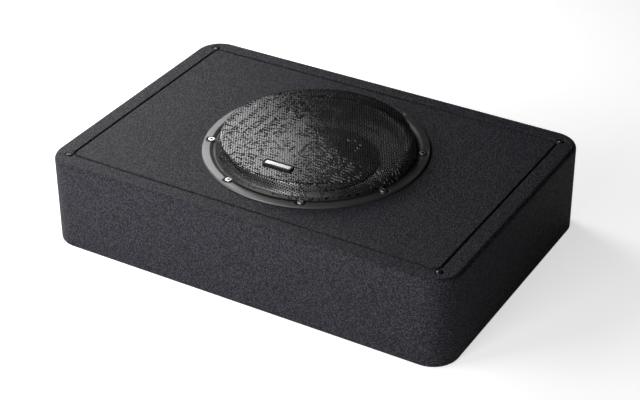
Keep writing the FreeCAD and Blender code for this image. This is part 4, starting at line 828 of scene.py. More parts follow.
def build_driver_screws():
    form = Form()
    outer = [(4.25, 0.0), (4.25, 1.95), (4.17, 2.2), (4.0, 2.36), (3.8, 2.4)]
    for place in screw_places(TOP + 1.2 * MM):
        add_socket_head(form, place, outer, 2.0, 1.6, 8.0, 2.5)
    screws = new_object("ring_screws", form,
                        [MATERIALS["bright_screw"], MATERIALS["socket_painted_shade"]], 40)
    return attach(screws, "enclosure", "bright_screw", "driver_screws")


GRILLE_SHEET = 0.6
HOLE_PITCH = 3.3
HOLE_RADIUS = 1.32


def grille_profile():
    """The grille's outer face from its centre to its foot, as (radius, height) in mm."""
    crown = [(radius, 20.8 - 0.6 * (radius / 114.6) ** 2) for radius in range(0, 110, 5)]
    corner = [(110.0, 20.25), (116.6, 20.2), (118.2, 15.5), (120.6, 7.5), (124.2, 0.9),
              (127.2, 0.9)]
    radii = [0, 2.6, 0, 30.0, 1.2, 0]
    return crown + soften(corner, radii, 8)


class Sheet:
    """The grille's face as a surface of arc length from its centre, and angle."""

    def __init__(self, profile):
        points = np.array(profile, float)
        steps = np.hypot(*np.diff(points, axis=0).T)
        self.reach = np.concatenate([[0.0], np.cumsum(steps)])
        self.points = points
        slopes = np.gradient(points, self.reach, axis=0)
        self.slopes = slopes / np.hypot(*slopes.T)[:, None]

    def length_below(self, height):
        """Arc length from the centre at which the profile comes down to a height."""
        return float(np.interp(-height, -self.points[:, 1], self.reach))

    def at(self, reach, angle, depth=0.0):
        radius = np.interp(reach, self.reach, self.points[:, 0])
        height = np.interp(reach, self.reach, self.points[:, 1])
        across = np.interp(reach, self.reach, self.slopes[:, 0])
        rise = np.interp(reach, self.reach, self.slopes[:, 1])
        radius += rise * depth
        height -= across * depth
        return radius * math.cos(angle), radius * math.sin(angle), height


class Lattice:
    """Cells with round holes on the sheet, sharing the points on their borders."""

    def __init__(self):
        self.params = []
        self.index = {}
        self.faces = []

    def point(self, reach, angle):
        key = (round(reach * 500), round(math.cos(angle) * reach * 500),
               round(math.sin(angle) * reach * 500))
        if key not in self.index:
            self.index[key] = len(self.params)
            self.params.append((reach, angle))
        return self.index[key]

    def cell(self, border, hole):
        """Faces between a border and a hole with the same count of points."""
        outer = [self.point(*spot) for spot in border]
        if hole is None:
            face = []
            for number in outer:
                if number not in face:
                    face.append(number)
            if len(face) > 2:
                self.faces.append(face)
            return
        inner = [len(self.params) + number for number in range(len(hole))]
        self.params.extend(hole)
        for number in range(len(outer)):
            after = (number + 1) % len(outer)
            face = [outer[number], outer[after], inner[after], inner[number]]
            if outer[number] == outer[after]:
                face = [outer[number], inner[after], inner[number]]
            self.faces.append(face)


def to_polar(x, y):
    return math.hypot(x, y), math.atan2(y, x)


def fill_disc(lattice, limit):
    """Staggered rows of holes from the grille's centre, up to an arc length."""
    row_step = HOLE_PITCH * math.sqrt(3) / 2
    rows = int(limit / row_step) + 2
    columns = int(limit / HOLE_PITCH) + 2
    corner = HOLE_PITCH / math.sqrt(3)
    corners = [(corner * math.cos(math.pi / 6 + math.pi / 3 * number),
                corner * math.sin(math.pi / 6 + math.pi / 3 * number)) for number in range(6)]
    border = []
    for number, (x, y) in enumerate(corners):
        following = corners[(number + 1) % 6]
        border += [(x, y), ((x + following[0]) / 2, (y + following[1]) / 2)]
    for row in range(-rows, rows + 1):
        for column in range(-columns, columns + 1):
            x = (column + (row % 2) / 2) * HOLE_PITCH
            y = row * row_step
            if math.hypot(x, y) > limit + corner:
                continue
            spots, inside = [], 0
            for dx, dy in border:
                reach, angle = to_polar(x + dx, y + dy)
                inside += reach < limit - 1e-6
                spots.append((min(reach, limit), angle))
            if inside == 0:
                continue
            hole = None
            if math.hypot(x, y) < limit - HOLE_RADIUS - 1.0 and inside == len(border):
                hole = [to_polar(x + HOLE_RADIUS * math.cos(math.pi / 6 * (step + 1)),
                                 y + HOLE_RADIUS * math.sin(math.pi / 6 * (step + 1)))
                        for step in range(12)]
            lattice.cell(spots, hole)


def rim_loop(lattice, limit):
    """The points of the disc's outer border, in order of angle."""
    rim = [number for number, (reach, _angle) in enumerate(lattice.params)
           if abs(reach - limit) < 1e-6]
    used = {number for face in lattice.faces for number in face}
    return sorted((number for number in rim if number in used),
                  key=lambda number: lattice.params[number][1] % (2 * math.pi))


def zip_loops(lattice, inner, outer):
    """Triangles between two loops that are each sorted by angle."""
    def angle(loop, step):
        turns, number = divmod(step, len(loop))
        return lattice.params[loop[number]][1] % (2 * math.pi) + 2 * math.pi * turns

    i = j = 0
    while i < len(inner) or j < len(outer):
        first, second = inner[i % len(inner)], outer[j % len(outer)]
        take_inner = j >= len(outer) or (i < len(inner)
                                         and angle(inner, i + 1) <= angle(outer, j + 1))
        if take_inner:
            lattice.faces.append([first, inner[(i + 1) % len(inner)], second])
            i += 1
        else:
            lattice.faces.append([first, outer[(j + 1) % len(outer)], second])
            j += 1


def plain_loops(lattice, reaches, count):
    """Plain rings of points at the given arc lengths, joined in order."""
    loops = []
    for reach in reaches:
        loops.append([lattice.point(reach, 2 * math.pi * step / count)
                      for step in range(count)])
    for near, far in zip(loops, loops[1:]):
        for step in range(count):
            after = (step + 1) % count
            lattice.faces.append([near[step], near[after], far[after], far[step]])
    return loops


def build_grille():
    """The grille: a pressed sheet with punched holes in its top and its wall."""
    sheet = Sheet(grille_profile())
    lattice = Lattice()
    holes_end = sheet.length_below(1.4)
    fill_disc(lattice, holes_end)
    loops = plain_loops(lattice, np.linspace(holes_end + 0.4, sheet.reach[-1], 9), 480)
    zip_loops(lattice, rim_loop(lattice, holes_end), loops[0])

    used = sorted({number for face in lattice.faces for number in face})
    renumber = {number: step for step, number in enumerate(used)}
    outer, inner = [], []
    for number in used:
        reach, angle = lattice.params[number]
        outer.append(sheet.at(reach, angle))
        inner.append(sheet.at(reach, angle, GRILLE_SHEET))
    faces = [[renumber[number] for number in face] for face in lattice.faces]
    edges = {}
    for face in faces:
        for number, start in enumerate(face):
            end = face[(number + 1) % len(face)]
            key = (min(start, end), max(start, end))
            edges.setdefault(key, []).append((start, end))
    back = len(outer)
    form = Form()
    all_faces = faces + [[number + back for number in face][::-1] for face in faces]
    for sides in edges.values():
        if len(sides) == 1:
            start, end = sides[0]
            all_faces.append([end, start, start + back, end + back])
    form.add(scaled(outer + inner), all_faces, place=DRIVER_TOP)
    grille = new_object("grille_perforated", form,
                        [MATERIALS["grille_black"], MATERIALS["painted_shade_black"],
                         MATERIALS["grille_wall_painted_shade"]], 50)
    # Painted shade: the foot band, the back face and the hole walls take the near-black material, and
    # the wall below the rim takes a darker copy of the grille steel.
    foot_top, wall_top = TOP + 5.5 * MM, TOP + 18.5 * MM
    for face in grille.data.polygons:
        if face.index >= len(faces) or face.center.z < foot_top:
            face.material_index = 1
        elif face.center.z < wall_top:
            face.material_index = 2
    return attach(grille, "enclosure", "grille_black", "grille")


def build_badge():
    """A blank badge: a glossy black frame around a plain bright plate."""
    low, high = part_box("badge_border")
    centre = (low + high) / 2
    length, width = high.x - low.x, high.y - low.y
    height = high.z - low.z
    place = Matrix.Translation((centre.x, centre.y, low.z))
    form = Form()
    border = 3.0 * MM

    def outline(inset, level):
        return at_level(rounded_rectangle(length - 2 * inset, width - 2 * inset,
                                          4.2 * MM - inset, 8), level)

    rings = [outline(0.0, 0.0)]
    rings += [outline(inset, height - 0.7 * MM + rise) for inset, rise in quarter(0.7 * MM, 4)]
    rings += [outline(border - 0.35 * MM, height), outline(border - 0.1 * MM, height - 0.2 * MM),
              outline(border, height - 0.6 * MM), outline(border, height - 1.0 * MM)]
    form.rings(rings, place=place)
    frame_piece = new_object("badge_frame", form, [MATERIALS["badge_black"]], 40)
    attach(frame_piece, "enclosure", "badge_black", "badge_border")
    plate = Form()
    plate_rings = [outline(border, height - 1.3 * MM), outline(border, height - 0.75 * MM),
                   outline(border + 0.3 * MM, height - 0.45 * MM),
                   outline(border + 0.8 * MM, height - 0.4 * MM)]
    plate.rings(plate_rings, place=place)
    plate_piece = new_object("badge_face", plate, [MATERIALS["badge_silver"]], 30)
    attach(plate_piece, "enclosure", "badge_silver", "badge_plate")


def follow_coil(piece):
    """Bake a turned piece's placement into its points; it does not stretch.
    """
    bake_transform(piece)


def thick_profile(upper, thickness):
    """A closed profile from an upper line and a sheet's thickness, in mm."""
    lower = [(radius, height - thickness) for radius, height in reversed(upper)]
    return upper + lower


def build_surround():
    """The rubber half roll, with its glued lips."""
    form = Form()
    upper = [(122.6, 1.2)]
    for step in range(1, 24):
        turn = math.pi * step / 24
        upper.append((111.4 + 7.7 * math.cos(turn),
                      -1.6 + 2.8 * math.cos(turn) + 7.75 * math.sin(turn)))
    upper += [(103.3, -4.6), (101.0, -5.0), (92.2, -8.4), (92.0, -9.0)]
    form.turned(scaled(thick_profile(upper, 1.1)), 240, closed=True, place=DRIVER_TOP)
    surround = new_object("surround_roll", form, [MATERIALS["surround_rubber"]], 50)
    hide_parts("surround")
    follow_coil(surround)


def build_cone():
    form = Form()
    upper = [(103.4, -5.9), (92.0, -10.1), (76.4, -15.8), (74.5, -17.2), (60.0, -23.7),
             (25.5, -40.0)]
    form.turned(scaled(thick_profile(soften(upper, 3.0, 4), 1.6)), 192, closed=True,
                place=DRIVER_TOP)
    cone = new_object("cone_shell", form, [MATERIALS["cone_material"]], 40)
    attach(cone, "cone_assembly", "cone_material", "cone")
    cap = Form()
    rim = [(77.0, -14.0), (76.0, -14.1), (74.4, -15.2)]
    dish_radius, dish_level, dish_depth, steps = 73.6, -15.8, 7.4, 15
    dish = []
    for step in range(steps, -1, -1):
        share = step / steps
        dish.append((dish_radius * share, dish_level - dish_depth * (1 - share ** 2)))
    upper = rim + dish
    lower = [(radius, height - 1.2) for radius, height in reversed(upper)]
    cap.turned(scaled(upper + lower), 192, place=DRIVER_TOP)
    piece = new_object("dust_cap_dish", cap, [MATERIALS["cap_material"]], 40)
    attach(piece, "cone_assembly", "cap_material", "dust_cap")


def build_spider():
    """The corrugated cloth, from the coil former to its glued edge."""
    form = Form()
    level, swing, waves, steps = -43.2, 1.05, 3, 72
    upper = [(25.45, level), (29.5, level)]
    for step in range(steps + 1):
        share = step / steps
        upper.append((30.0 + 35.7 * share, level + swing * math.sin(2 * math.pi * waves * share)))
    upper += [(66.2, level), (76.0, level)]
    form.turned(scaled(thick_profile(upper, 0.8)), 144, closed=True, place=DRIVER_TOP)
    spider = new_object("spider_cloth_disc", form, [MATERIALS["spider_cloth"]], 60)
    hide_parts("spider")
    follow_coil(spider)


def arc_path(start, end, radius, count=28):
    """Points on an upward-bulging arc in the y-z plane between two (y, z) points."""
    start, end = Vector(start), Vector(end)
    along = end - start
    half = along.length / 2
    normal = Vector((-along.y, along.x)).normalized()
    if normal.y < 0:
        normal = -normal
    centre = (start + end) / 2 - normal * math.sqrt(radius ** 2 - half ** 2)
    first = math.atan2(start.y - centre.y, start.x - centre.x)
    last = math.atan2(end.y - centre.y, end.x - centre.x)
    return [(centre.x + radius * math.cos(first + (last - first) * step / (count - 1)),
             centre.y + radius * math.sin(first + (last - first) * step / (count - 1)))
            for step in range(count)]


def build_leads():
    """Braided leads from the coil to the tabs, and the wires on to the amplifier."""
    leads = Form()
    for side in (-8.0, 8.0):
        path = arc_path((92.0, -50.0), (25.4, -42.3), 65.0)
        for strand in range(3):
            points = []
            for step, (y, z) in enumerate(path):
                turn = step * 0.9 + strand * 2 * math.pi / 3
                points.append(((side + 0.27 * math.cos(turn)) * MM, y * MM,
                               (z + 0.27 * math.sin(turn)) * MM))
            leads.pipe(points, 0.3 * MM, 8, place=DRIVER_TOP)
    piece = new_object("braided_leads", leads, [MATERIALS["copper"]], 50)
    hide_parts("tinsel_leads")
    follow_coil(piece)
    wires = Form()
    for number, side in enumerate((-8.0, 8.0)):
        low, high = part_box("speaker_wires")
        start = (90.0, -57.5)
        end = ((high.y / MM) - 0.4, -72.0)
        points = [(side * MM, y * MM, z * MM) for y, z in arc_path(start, end, 60.0)]
        wires.pipe(points, 1.5 * MM, 14, number, DRIVER_TOP)
    piece = new_object("amplifier_wires", wires,
                       [MATERIALS["jacket_red"], MATERIALS["jacket_black"]], 50)
    attach(piece, "enclosure", "wire_jacket", "speaker_wires")


def build_gaskets():
    form = Form()
    profile = soften([(119.0, -3.0), (137.0, -3.0), (137.0, -2.0), (119.0, -2.0)], 0.3, 3, True)
    form.turned(scaled(profile), 144, closed=True, place=DRIVER_TOP)
    ring = new_object("driver_gasket_foam", form, [MATERIALS["foam"]])
    attach(ring, "enclosure", "foam", "driver_gasket")
    amp = Form()
    rings = []
    for length, width, level in ((303, 81, -4.0), (303, 81, -3.0), (284, 66, -3.0),
                                 (284, 66, -4.0)):
        outline = rounded_rectangle(length * MM, width * MM, 4 * MM, 6)
        rings.append(at_level(outline, level * MM))
    amp.rings(rings, closed=True, place=AMP_PLACE)
    piece = new_object("amp_gasket_foam", amp, [MATERIALS["foam"]])
    attach(piece, "enclosure", "foam", "amp_gasket")


def build_wadding():
    """Loose damping pads with a lumpy, fibrous surface."""
    for node in ("left_wadding", "right_wadding"):
        size = extent(node)
        form = Form()
        steps = 22
        rings = []
        for step in range(steps + 1):
            turn = math.pi * step / steps
            level = -math.cos(turn) * size.z / 2 * 0.94
            inset = (1 - abs(math.sin(turn)) ** 0.35) * 22 * MM
            outline = rounded_rectangle(size.x - 2 * inset, size.y - 2 * inset,
                                        max(20 * MM - inset * 0.4, 4 * MM), 6, 14)
            rings.append(at_level(outline, level))
        form.rings(rings, place=Matrix.Translation(middle(node)))
        pad = new_object(f"{node}_pad", form, [MATERIALS["wadding"]], 80)
        for vertex in pad.data.vertices:
            lump = noise.noise(vertex.co * 45.0) + 0.5 * noise.noise(vertex.co * 120.0)
            away = (vertex.co - middle(node)).normalized()
            vertex.co -= away * (1.6 + 1.6 * lump) * MM
        attach(pad, "enclosure", "wadding", node)


# ---------------------------------------------------------------- amplifier


def build_amp_panel():
    """The anodised panel with rounded fins, its openings and its printed dial marks."""
    form = Form()
    form.block((304 * MM, 82 * MM, PANEL_THICKNESS), 4 * MM, 0.5 * MM,
               place=on_panel(0, 0, -PANEL_THICKNESS / 2), corner_steps=6)
    panel = new_object("amp_plate", form, [MATERIALS["amp_aluminium"]], 35)
    holes = Form()
    for node in ("phase_slider", "mode_slider"):
        across, up = panel_spot(node)
        centre = across + 2 * MM
        holes.block((9.4 * MM, 4.2 * MM, 8 * MM), 0.6 * MM, 0.1 * MM,
                    place=on_panel(centre, up, 0))
    for node in ("gain_knob", "crossover_knob", "bass_knob"):
        across, up = panel_spot(node)
        holes.turned(scaled([(0, -6), (3.7, -6), (3.7, -0.3), (4.0, 0.05), (4.4, 2), (0, 2)]),
                     40, place=on_panel(across, up))
    carve(panel, holes, [MATERIALS["amp_aluminium"]])
    detail = Form()
    for number in range(24):
        across = (-142 + 5 * number) * MM
        add_fin(detail, across)
    add_dials(detail)
    fins = new_object("amp_fins_and_marks", detail,
                      [MATERIALS["amp_aluminium"], MATERIALS["legend_white"]], 35)
    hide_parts("amp_panel")
    attach(fins, "enclosure", "amp_aluminium")
    return attach(panel, "enclosure", "amp_aluminium", "amp_panel")


def add_fin(form, across):
    """One cooling fin: thick at its root, with a rounded tip."""
    rings = []
    for level, thickness, length in ((-0.4, 2.1, 64.0), (0.0, 2.1, 64.0), (0.6, 1.75, 64.0),
                                     (3.0, 1.6, 63.9), (5.3, 1.45, 63.7), (5.75, 1.2, 63.3),
                                     (5.95, 0.8, 62.7), (6.0, 0.4, 62.2)):
        outline = rounded_rectangle(thickness * MM, length * MM, thickness * 0.4 * MM, 3, 1)
        rings.append(at_level(outline, level * MM))
    form.rings(rings, place=on_panel(across, 0))


def add_dials(form):
    """Printed tick marks around each knob, and a line beside each end of a switch."""
    for node in ("gain_knob", "crossover_knob", "bass_knob"):
        across, up = panel_spot(node)
        for tick in range(11):
            angle = math.radians(90 + 140 - 28 * tick)
            reach = (8.3 if tick % 5 else 8.6) * MM
            size = (1.5 if tick % 5 else 2.1) * MM
            turn = Matrix.Rotation(angle, 4, "Z")
            place = on_panel(across, up, 0.03 * MM) @ turn @ Matrix.Translation((reach, 0, 0))
            form.block((size, 0.35 * MM, 0.1 * MM), 0.1 * MM, 0.02 * MM, 1, place, 2, 1)
    for node in ("phase_slider", "mode_slider"):
        across, up = panel_spot(node)
        for shift in (0.0, 4.0):
            place = on_panel(across + shift * MM, up + 4.6 * MM, 0.03 * MM)
            form.block((0.4 * MM, 1.8 * MM, 0.1 * MM), 0.1 * MM, 0.02 * MM, 1, place, 2, 1)


def build_amp_screws():
    form = Form()
    outer = [(3.4, 0.0), (3.4, 1.2), (3.2, 1.6), (2.8, 1.9), (2.4, 2.0)]
    for column in range(-2, 3):
        for side in (-1, 1):
            place = on_panel(column * 73.5 * MM, side * 37.0 * MM)
            add_socket_head(form, place, outer, 1.6, 1.2, 8.0, 1.7)
    screws = new_object("amp_screws", form,
                        [MATERIALS["black_screw"], MATERIALS["socket_painted_shade"]], 40)
    attach(screws, "enclosure", "black_screw", "amp_panel_screws")


def build_knobs():
    """Fluted knobs with a white pointer, each on its shaft."""
    for name in ("gain", "crossover", "bass"):
        across, up = panel_spot(f"{name}_knob")
        place = on_panel(across, up)
        form = Form()
        side = soften([(3.2, 0.9), (5.6, 0.9), (5.45, 6.6), (5.0, 7.35), (0.0, 7.4)],
                      [0, 0.3, 0.6, 0.6, 0], 3)
        form.turned(scaled([(0.0, 4.0), (3.0, 4.0), (3.0, 0.9)] + side), 144, place=place,
                    flutes=24, depth=0.35 * MM)
        pointer = place @ Matrix.Translation((0.0, 3.0 * MM, 7.42 * MM))
        form.block((0.9 * MM, 4.0 * MM, 0.18 * MM), 0.3 * MM, 0.05 * MM, 1, pointer, 3, 1)
        knob = new_object(f"{name}_knob_fluted", form,
                          [MATERIALS["knob_plastic"], MATERIALS["legend_white"]], 40)
        attach(knob, f"{name}_control", "knob_plastic", f"{name}_knob")
        rod = Form()
        rod.turned(scaled([(0.0, -7.5), (2.6, -7.5), (3.0, -7.1), (3.0, 3.9), (0.0, 3.9)]), 48,
                   place=place)
        shaft = new_object(f"{name}_shaft_rod", rod, [MATERIALS["shaft_plastic"]], 40)
        attach(shaft, f"{name}_control", "shaft_plastic", f"{name}_shaft")


def build_sliders():
    for name in ("phase", "mode"):
        across, up = panel_spot(f"{name}_slider")
        form = Form()
        form.block((3.5 * MM, 3.5 * MM, 10.2 * MM), 0.4 * MM, 0.35 * MM,
                   place=on_panel(across, up, -2.9 * MM))
        for rib in (-1, 0, 1):
            place = on_panel(across + rib * MM, up, 2.25 * MM)
            form.block((0.35 * MM, 3.1 * MM, 0.3 * MM), 0.1 * MM, 0.1 * MM, place=place)
        slider = new_object(f"{name}_slider_cap", form, [MATERIALS["slider_plastic"]], 40)
        attach(slider, f"{name}_switch", "slider_plastic", f"{name}_slider")


def build_led():
    across, up = panel_spot("power_led")
    form = Form()
    dome = [(1.98 * math.cos(math.radians(angle)), 1.98 * math.sin(math.radians(angle)))
            for angle in range(0, 90, 10)] + [(0.0, 1.98)]
    form.turned(scaled([(0.0, -7.0), (1.98, -7.0)] + dome), 40, place=on_panel(across, up))
    led = new_object("led_dome", form, [MATERIALS["led_lens"]], 40)
    attach(led, "enclosure", "led_lens", "power_led")


def build_rca():
    """Plated jacks with a coloured insert and a dark pin hole."""
    jacks = Form()
    for colour in ("white", "red"):
        across, up = panel_spot(f"rca_insert_{colour}")
        place = on_panel(across, up)
        profile = [(3.5, -9.0), (4.15, -9.0), (4.15, 0.0), (6.0, 0.0), (6.0, 1.0), (4.15, 1.0),
                   (4.15, 8.0), (3.5, 8.0)]
        radii = [0, 0, 0, 0.1, 0.35, 0.2, 0.3, 0.2]
        jacks.turned(scaled(soften(profile, radii, 3, True)), 64, closed=True, place=place)
        insert = Form()
        profile = [(1.6, -1.0), (1.6, 7.0), (3.5, 7.0), (3.5, -9.0), (0.0, -9.0)]
        insert.turned(scaled([(0.0, -1.0)] + soften(profile, [0, 0.25, 0.25, 0, 0], 3)), 48,
                      place=place)
        piece = new_object(f"rca_core_{colour}", insert, [MATERIALS[f"insert_{colour}"]], 40)
        attach(piece, "enclosure", f"insert_{colour}", f"rca_insert_{colour}")
    piece = new_object("rca_shells", jacks, [MATERIALS["nickel"]], 35)
    attach(piece, "enclosure", "nickel", "rca_jacks")


def build_sockets():
    """Two keyed plug sockets with rows of contact pins inside."""
    for node, pins in (("remote_socket", 2), ("high_level_socket", 4)):
        across, up = panel_spot(node)
        size = extent(node)
        length, width = size.x, size.z
        form = Form()

        def outline(inset, level):
            return at_level(rounded_rectangle(length - 2 * inset, width - 2 * inset,
                                              max(1.0 * MM - inset * 0.4, 0.2 * MM), 4),
                            level * MM)

        wall = 1.2 * MM
        form.rings([outline(0, -16.0), outline(0, 2.7), outline(0.3 * MM, 3.0),
                    outline(wall - 0.2 * MM, 3.0), outline(wall, 2.8), outline(wall, -6.0)],
                   place=on_panel(across, up))
        for row in range(pins):
            shift = (row - (pins - 1) / 2) * 3.8 * MM
            form.block((0.8 * MM, 0.8 * MM, 7.5 * MM), 0.1 * MM, 0.2 * MM, 1,
                       on_panel(across + shift, up, -3.0 * MM))
        key = on_panel(across, up + width / 2 - wall - 0.4 * MM, -1.8 * MM)
        form.block((3.0 * MM, 1.2 * MM, 9.0 * MM), 0.2 * MM, 0.2 * MM, 0, key)
        piece = new_object(f"{node}_shell", form,
                           [MATERIALS["case_black"], MATERIALS["tab_brass"]], 35)
        attach(piece, "enclosure", "case_black", node)


def build_fuse_holder():
    across, up = panel_spot("fuse_holder")
    holder = Form()
    holder.block((26 * MM, 14 * MM, 18 * MM), 1.2 * MM, 0.5 * MM,
                 place=on_panel(across, up, -7 * MM))
    piece = new_object("fuse_tray", holder, [MATERIALS["case_black"]])
    seats = Form()
    for side in (-1, 1):
        seats.block((19.4 * MM, 4.4 * MM, 10 * MM), 0.5 * MM, 0.1 * MM,
                    place=on_panel(across, up + side * 3 * MM, 0.5 * MM))
    carve(piece, seats, [MATERIALS["case_black"]])
    attach(piece, "enclosure", "case_black", "fuse_holder")
    fuses = Form()
    for side in (-1, 1):
        spot = up + side * 3 * MM
        fuses.block((19 * MM, 3.6 * MM, 6.2 * MM), 0.8 * MM, 0.5 * MM,
                    place=on_panel(across, spot, 0.2 * MM))
        fuses.block((18 * MM, 4 * MM, 3.4 * MM), 1.0 * MM, 0.7 * MM,
                    place=on_panel(across, spot, 4.8 * MM))
        for end in (-1, 1):
            fuses.block((5.2 * MM, 0.7 * MM, 4 * MM), 0.1 * MM, 0.1 * MM, 1,
                        on_panel(across + end * 6.2 * MM, spot, -3.0 * MM))
    piece = new_object("blade_fuses", fuses, [MATERIALS["fuse_plastic"], MATERIALS["tab_brass"]])
    attach(piece, "enclosure", "fuse_plastic", "fuses")


def build_power_terminals():
    """Three moulded terminals with deep cable entries and slotted clamping screws."""
    across, up = panel_spot("power_terminal_block")
    block = Form()
    cuts = Form()
    screws = Form()
    slots = Form()
    for step in (-1, 0, 1):
        spot = across + step * 12 * MM
        block.block((11.6 * MM, 24 * MM, 21 * MM), 0.8 * MM, 0.5 * MM,
                    place=on_panel(spot, up, -5.5 * MM))
        cuts.turned(scaled([(0, -9), (3.3, -9), (3.3, 4.4), (3.6, 4.8), (4.1, 5.1), (4.4, 6),
                            (0, 6)]), 48, place=on_panel(spot, up - 5 * MM))
        cuts.turned(scaled([(0, -3), (2.6, -3), (2.6, 4.6), (2.9, 5.1), (3.1, 6), (0, 6)]), 40,
                    place=on_panel(spot, up + 6 * MM))
        screws.turned(scaled([(0, -2.9), (2.45, -2.9), (2.45, 3.9), (2.1, 4.3), (0, 4.4)]), 40,
                      place=on_panel(spot, up + 6 * MM))
        turn = Matrix.Rotation(math.radians(20 + 35 * step), 4, "Z")
        slots.block((6 * MM, 0.9 * MM, 2 * MM), 0.1 * MM, 0.05 * MM,
                    place=on_panel(spot, up + 6 * MM, 4.5 * MM) @ turn)
    body = new_object("power_terminals", block, [MATERIALS["case_black"]])
    carve(body, cuts, [MATERIALS["case_black"]])
    attach(body, "enclosure", "case_black", "power_terminal_block")
    clamps = new_object("clamp_screws", screws, [MATERIALS["plated_steel"]])
    carve(clamps, slots, [MATERIALS["plated_steel"]])
    attach(clamps, "enclosure", "plated_steel", "terminal_screws")


def build_capacitors():
    """Upright cans with a crimped shoulder and a recessed top."""
    form = Form()
    low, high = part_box("capacitors")
    radius = (high.z - low.z) / 2 / MM
    count = 4
    pitch = ((high.x - low.x) / MM - 2 * radius) / (count - 1)
    for number in range(count):
        centre_x = low.x + (radius + pitch * number) * MM
        place = Matrix.Translation((centre_x, high.y, (low.z + high.z) / 2))
        place = place @ Matrix.Rotation(math.radians(90), 4, "X")
        length = (high.y - low.y) / MM
        profile = [(0, 0), (radius - 0.3, 0), (radius, 0.6), (radius, 1.8), (radius - 0.7, 2.6),
                   (radius, 3.4), (radius, length - 0.8), (radius - 0.8, length),
                   (radius - 1.4, length - 0.3), (0, length - 0.3)]
        form.turned(scaled(soften(profile, 0.4, 3)), 64, place=place)
    cans = new_object("capacitor_cans", form, [MATERIALS["can_sleeve"]], 40)
    attach(cans, "enclosure", "can_sleeve", "capacitors")


def build_inductor():
    """A powder core wound with one layer of thick enamelled wire."""
    low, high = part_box("ring_inductor")
    centre = (low + high) / 2
    section = (high.y - low.y) / 2
    ring = (high.x - low.x) / 2 - section
    place = Matrix.Translation(centre) @ Matrix.Rotation(math.radians(90), 4, "X")
    core = Form()
    profile = [(ring + section * 0.78 * math.cos(2 * math.pi * step / 20),
                section * 0.78 * math.sin(2 * math.pi * step / 20)) for step in range(20)]
    core.turned(profile, 72, 1, place, True)
    turns = 30
    wire = 0.10 * section
    path = []
    for step in range(turns * 16):
        angle = 2 * math.pi * 0.94 * step / (turns * 16)
        turn = 2 * math.pi * step / 16
        reach = ring + (section - wire) * 0.97 * math.cos(turn)
        path.append((reach * math.cos(angle), reach * math.sin(angle),
                     (section - wire) * 0.97 * math.sin(turn)))
    core.pipe(path, wire, 8, 0, place)
    coil = new_object("wound_inductor", core, [MATERIALS["copper"], MATERIALS["ferrite"]], 50)
    attach(coil, "enclosure", "copper", "ring_inductor")


def finish_cad_nodes():
    for node in ("left_brace", "right_brace", "basket", "coil_former", "coil_winding",
                 "top_plate", "magnet", "pole_yoke", "terminal_strip", "terminal_tabs",
                 "amp_cover", "circuit_board", "power_transistors", "clamp_bar",
                 "potentiometers", "switch_cases"):
        finish_cad_node(node)


def build_object():
    build_side_walls()
    build_bottom_panel()
    build_top_panel()
    build_corner_screws()
    build_trim_ring()
    build_driver_screws()
    build_grille()
    build_badge()
    build_surround()
    build_cone()
    build_spider()
    build_leads()
    build_gaskets()
    build_wadding()
    build_amp_panel()
    build_amp_screws()
    build_knobs()
    build_sliders()
    build_led()
    build_rca()
    build_sockets()
    build_fuse_holder()
    build_power_terminals()
    build_capacitors()
    build_inductor()
    finish_cad_nodes()


# ---------------------------------------------------------------- studio


LIGHTS = {
    # name: (azimuth, elevation, distance, size, watts, roll)
    "back_left": (157.0, 16.0, 1.8, 0.75, 10.5, 0.0),
    "left": (205.0, 18.0, 1.8, 0.75, 7.0, 0.0),
    "front": (270.0, 16.0, 1.8, 0.75, 17.0, 0.0),
    "front_right": (300.0, 16.0, 1.8, 0.75, 2.0, 0.0),
    "near_back_left": (145.5, 34.0, 0.85, 0.45, 3.3, 45.0),
    "near_front_left": (240.0, 25.0, 0.85, 0.45, 4.0, 0.0),
}
FLOOR_GLOW = 0.03
FLOOR_GLOW_SEEN = 0.62


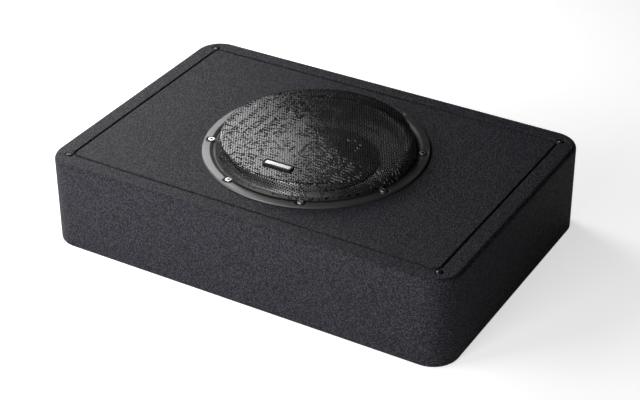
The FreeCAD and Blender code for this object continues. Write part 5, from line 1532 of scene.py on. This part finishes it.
def build_floor():
    """A white sheet that glows for the camera, so that it reads as white paper."""
    form = Form()
    half = 6.0
    form.add([(-half, -half, -0.0005), (half, -half, -0.0005), (half, half, -0.0005),
              (-half, half, -0.0005)], [[0, 1, 2, 3]])
    graph = Graph("studio_floor")
    cloud = graph.noise(1.5, 2.0)
    seen = graph.node("ShaderNodeLightPath").outputs["Is Camera Ray"]
    graph.set(Base_Color=graph.blend(cloud, grey(0.86), grey(0.90)), Roughness=0.8,
              Emission_Color=grey(1.0),
              Emission_Strength=graph.ramp(seen, 0.0, 1.0, FLOOR_GLOW, FLOOR_GLOW_SEEN))
    floor = new_object("studio_floor", form, [graph.material])


def build_lights():
    for name, (azimuth, elevation, distance, size, power, roll) in LIGHTS.items():
        turn, rise = math.radians(azimuth), math.radians(elevation)
        away = Vector((math.cos(turn) * math.cos(rise), math.sin(turn) * math.cos(rise),
                       math.sin(rise)))
        data = bpy.data.lights.new(name, "AREA")
        data.size = size
        data.energy = power
        light = bpy.data.objects.new(name, data)
        light.location = away * distance + Vector((0.0, 0.0, TOP))
        aim = away.to_track_quat("Z", "Y").to_matrix() @ Matrix.Rotation(math.radians(roll), 3, "Z")
        light.rotation_euler = aim.to_euler()
        bpy.context.scene.collection.objects.link(light)
    world = bpy.data.worlds.new("studio")
    world.use_nodes = True
    background = world.node_tree.nodes["Background"]
    background.inputs["Color"].default_value = (1.0, 1.0, 1.0, 1.0)
    background.inputs["Strength"].default_value = 0.0
    bpy.context.scene.world = world


def build_camera():
    """The view from the front right and above, a little off the box's middle."""
    azimuth, elevation, roll = math.radians(30.543), math.radians(31.994), math.radians(-0.317)
    back = Vector((math.sin(azimuth) * math.cos(elevation),
                   -math.cos(azimuth) * math.cos(elevation), math.sin(elevation)))
    right = Vector((math.cos(azimuth), math.sin(azimuth), 0.0))
    up = back.cross(right)
    level_right, level_up = right, up
    right = level_right * math.cos(roll) + level_up * math.sin(roll)
    up = level_up * math.cos(roll) - level_right * math.sin(roll)
    aim = Vector((0.01658, -0.02013, 0.059))
    location = aim + back * 2.14770
    matrix = Matrix((right, up, back)).transposed().to_4x4()
    matrix.translation = location
    data = bpy.data.cameras.new("view")
    data.sensor_width = 36.0
    data.lens = 98.36
    camera = bpy.data.objects.new("view", data)
    bpy.context.scene.collection.objects.link(camera)
    camera.matrix_world = matrix
    bpy.context.scene.camera = camera
    bpy.context.scene.view_settings.view_transform = "Standard"


build_object()
build_floor()
build_lights()
build_camera()
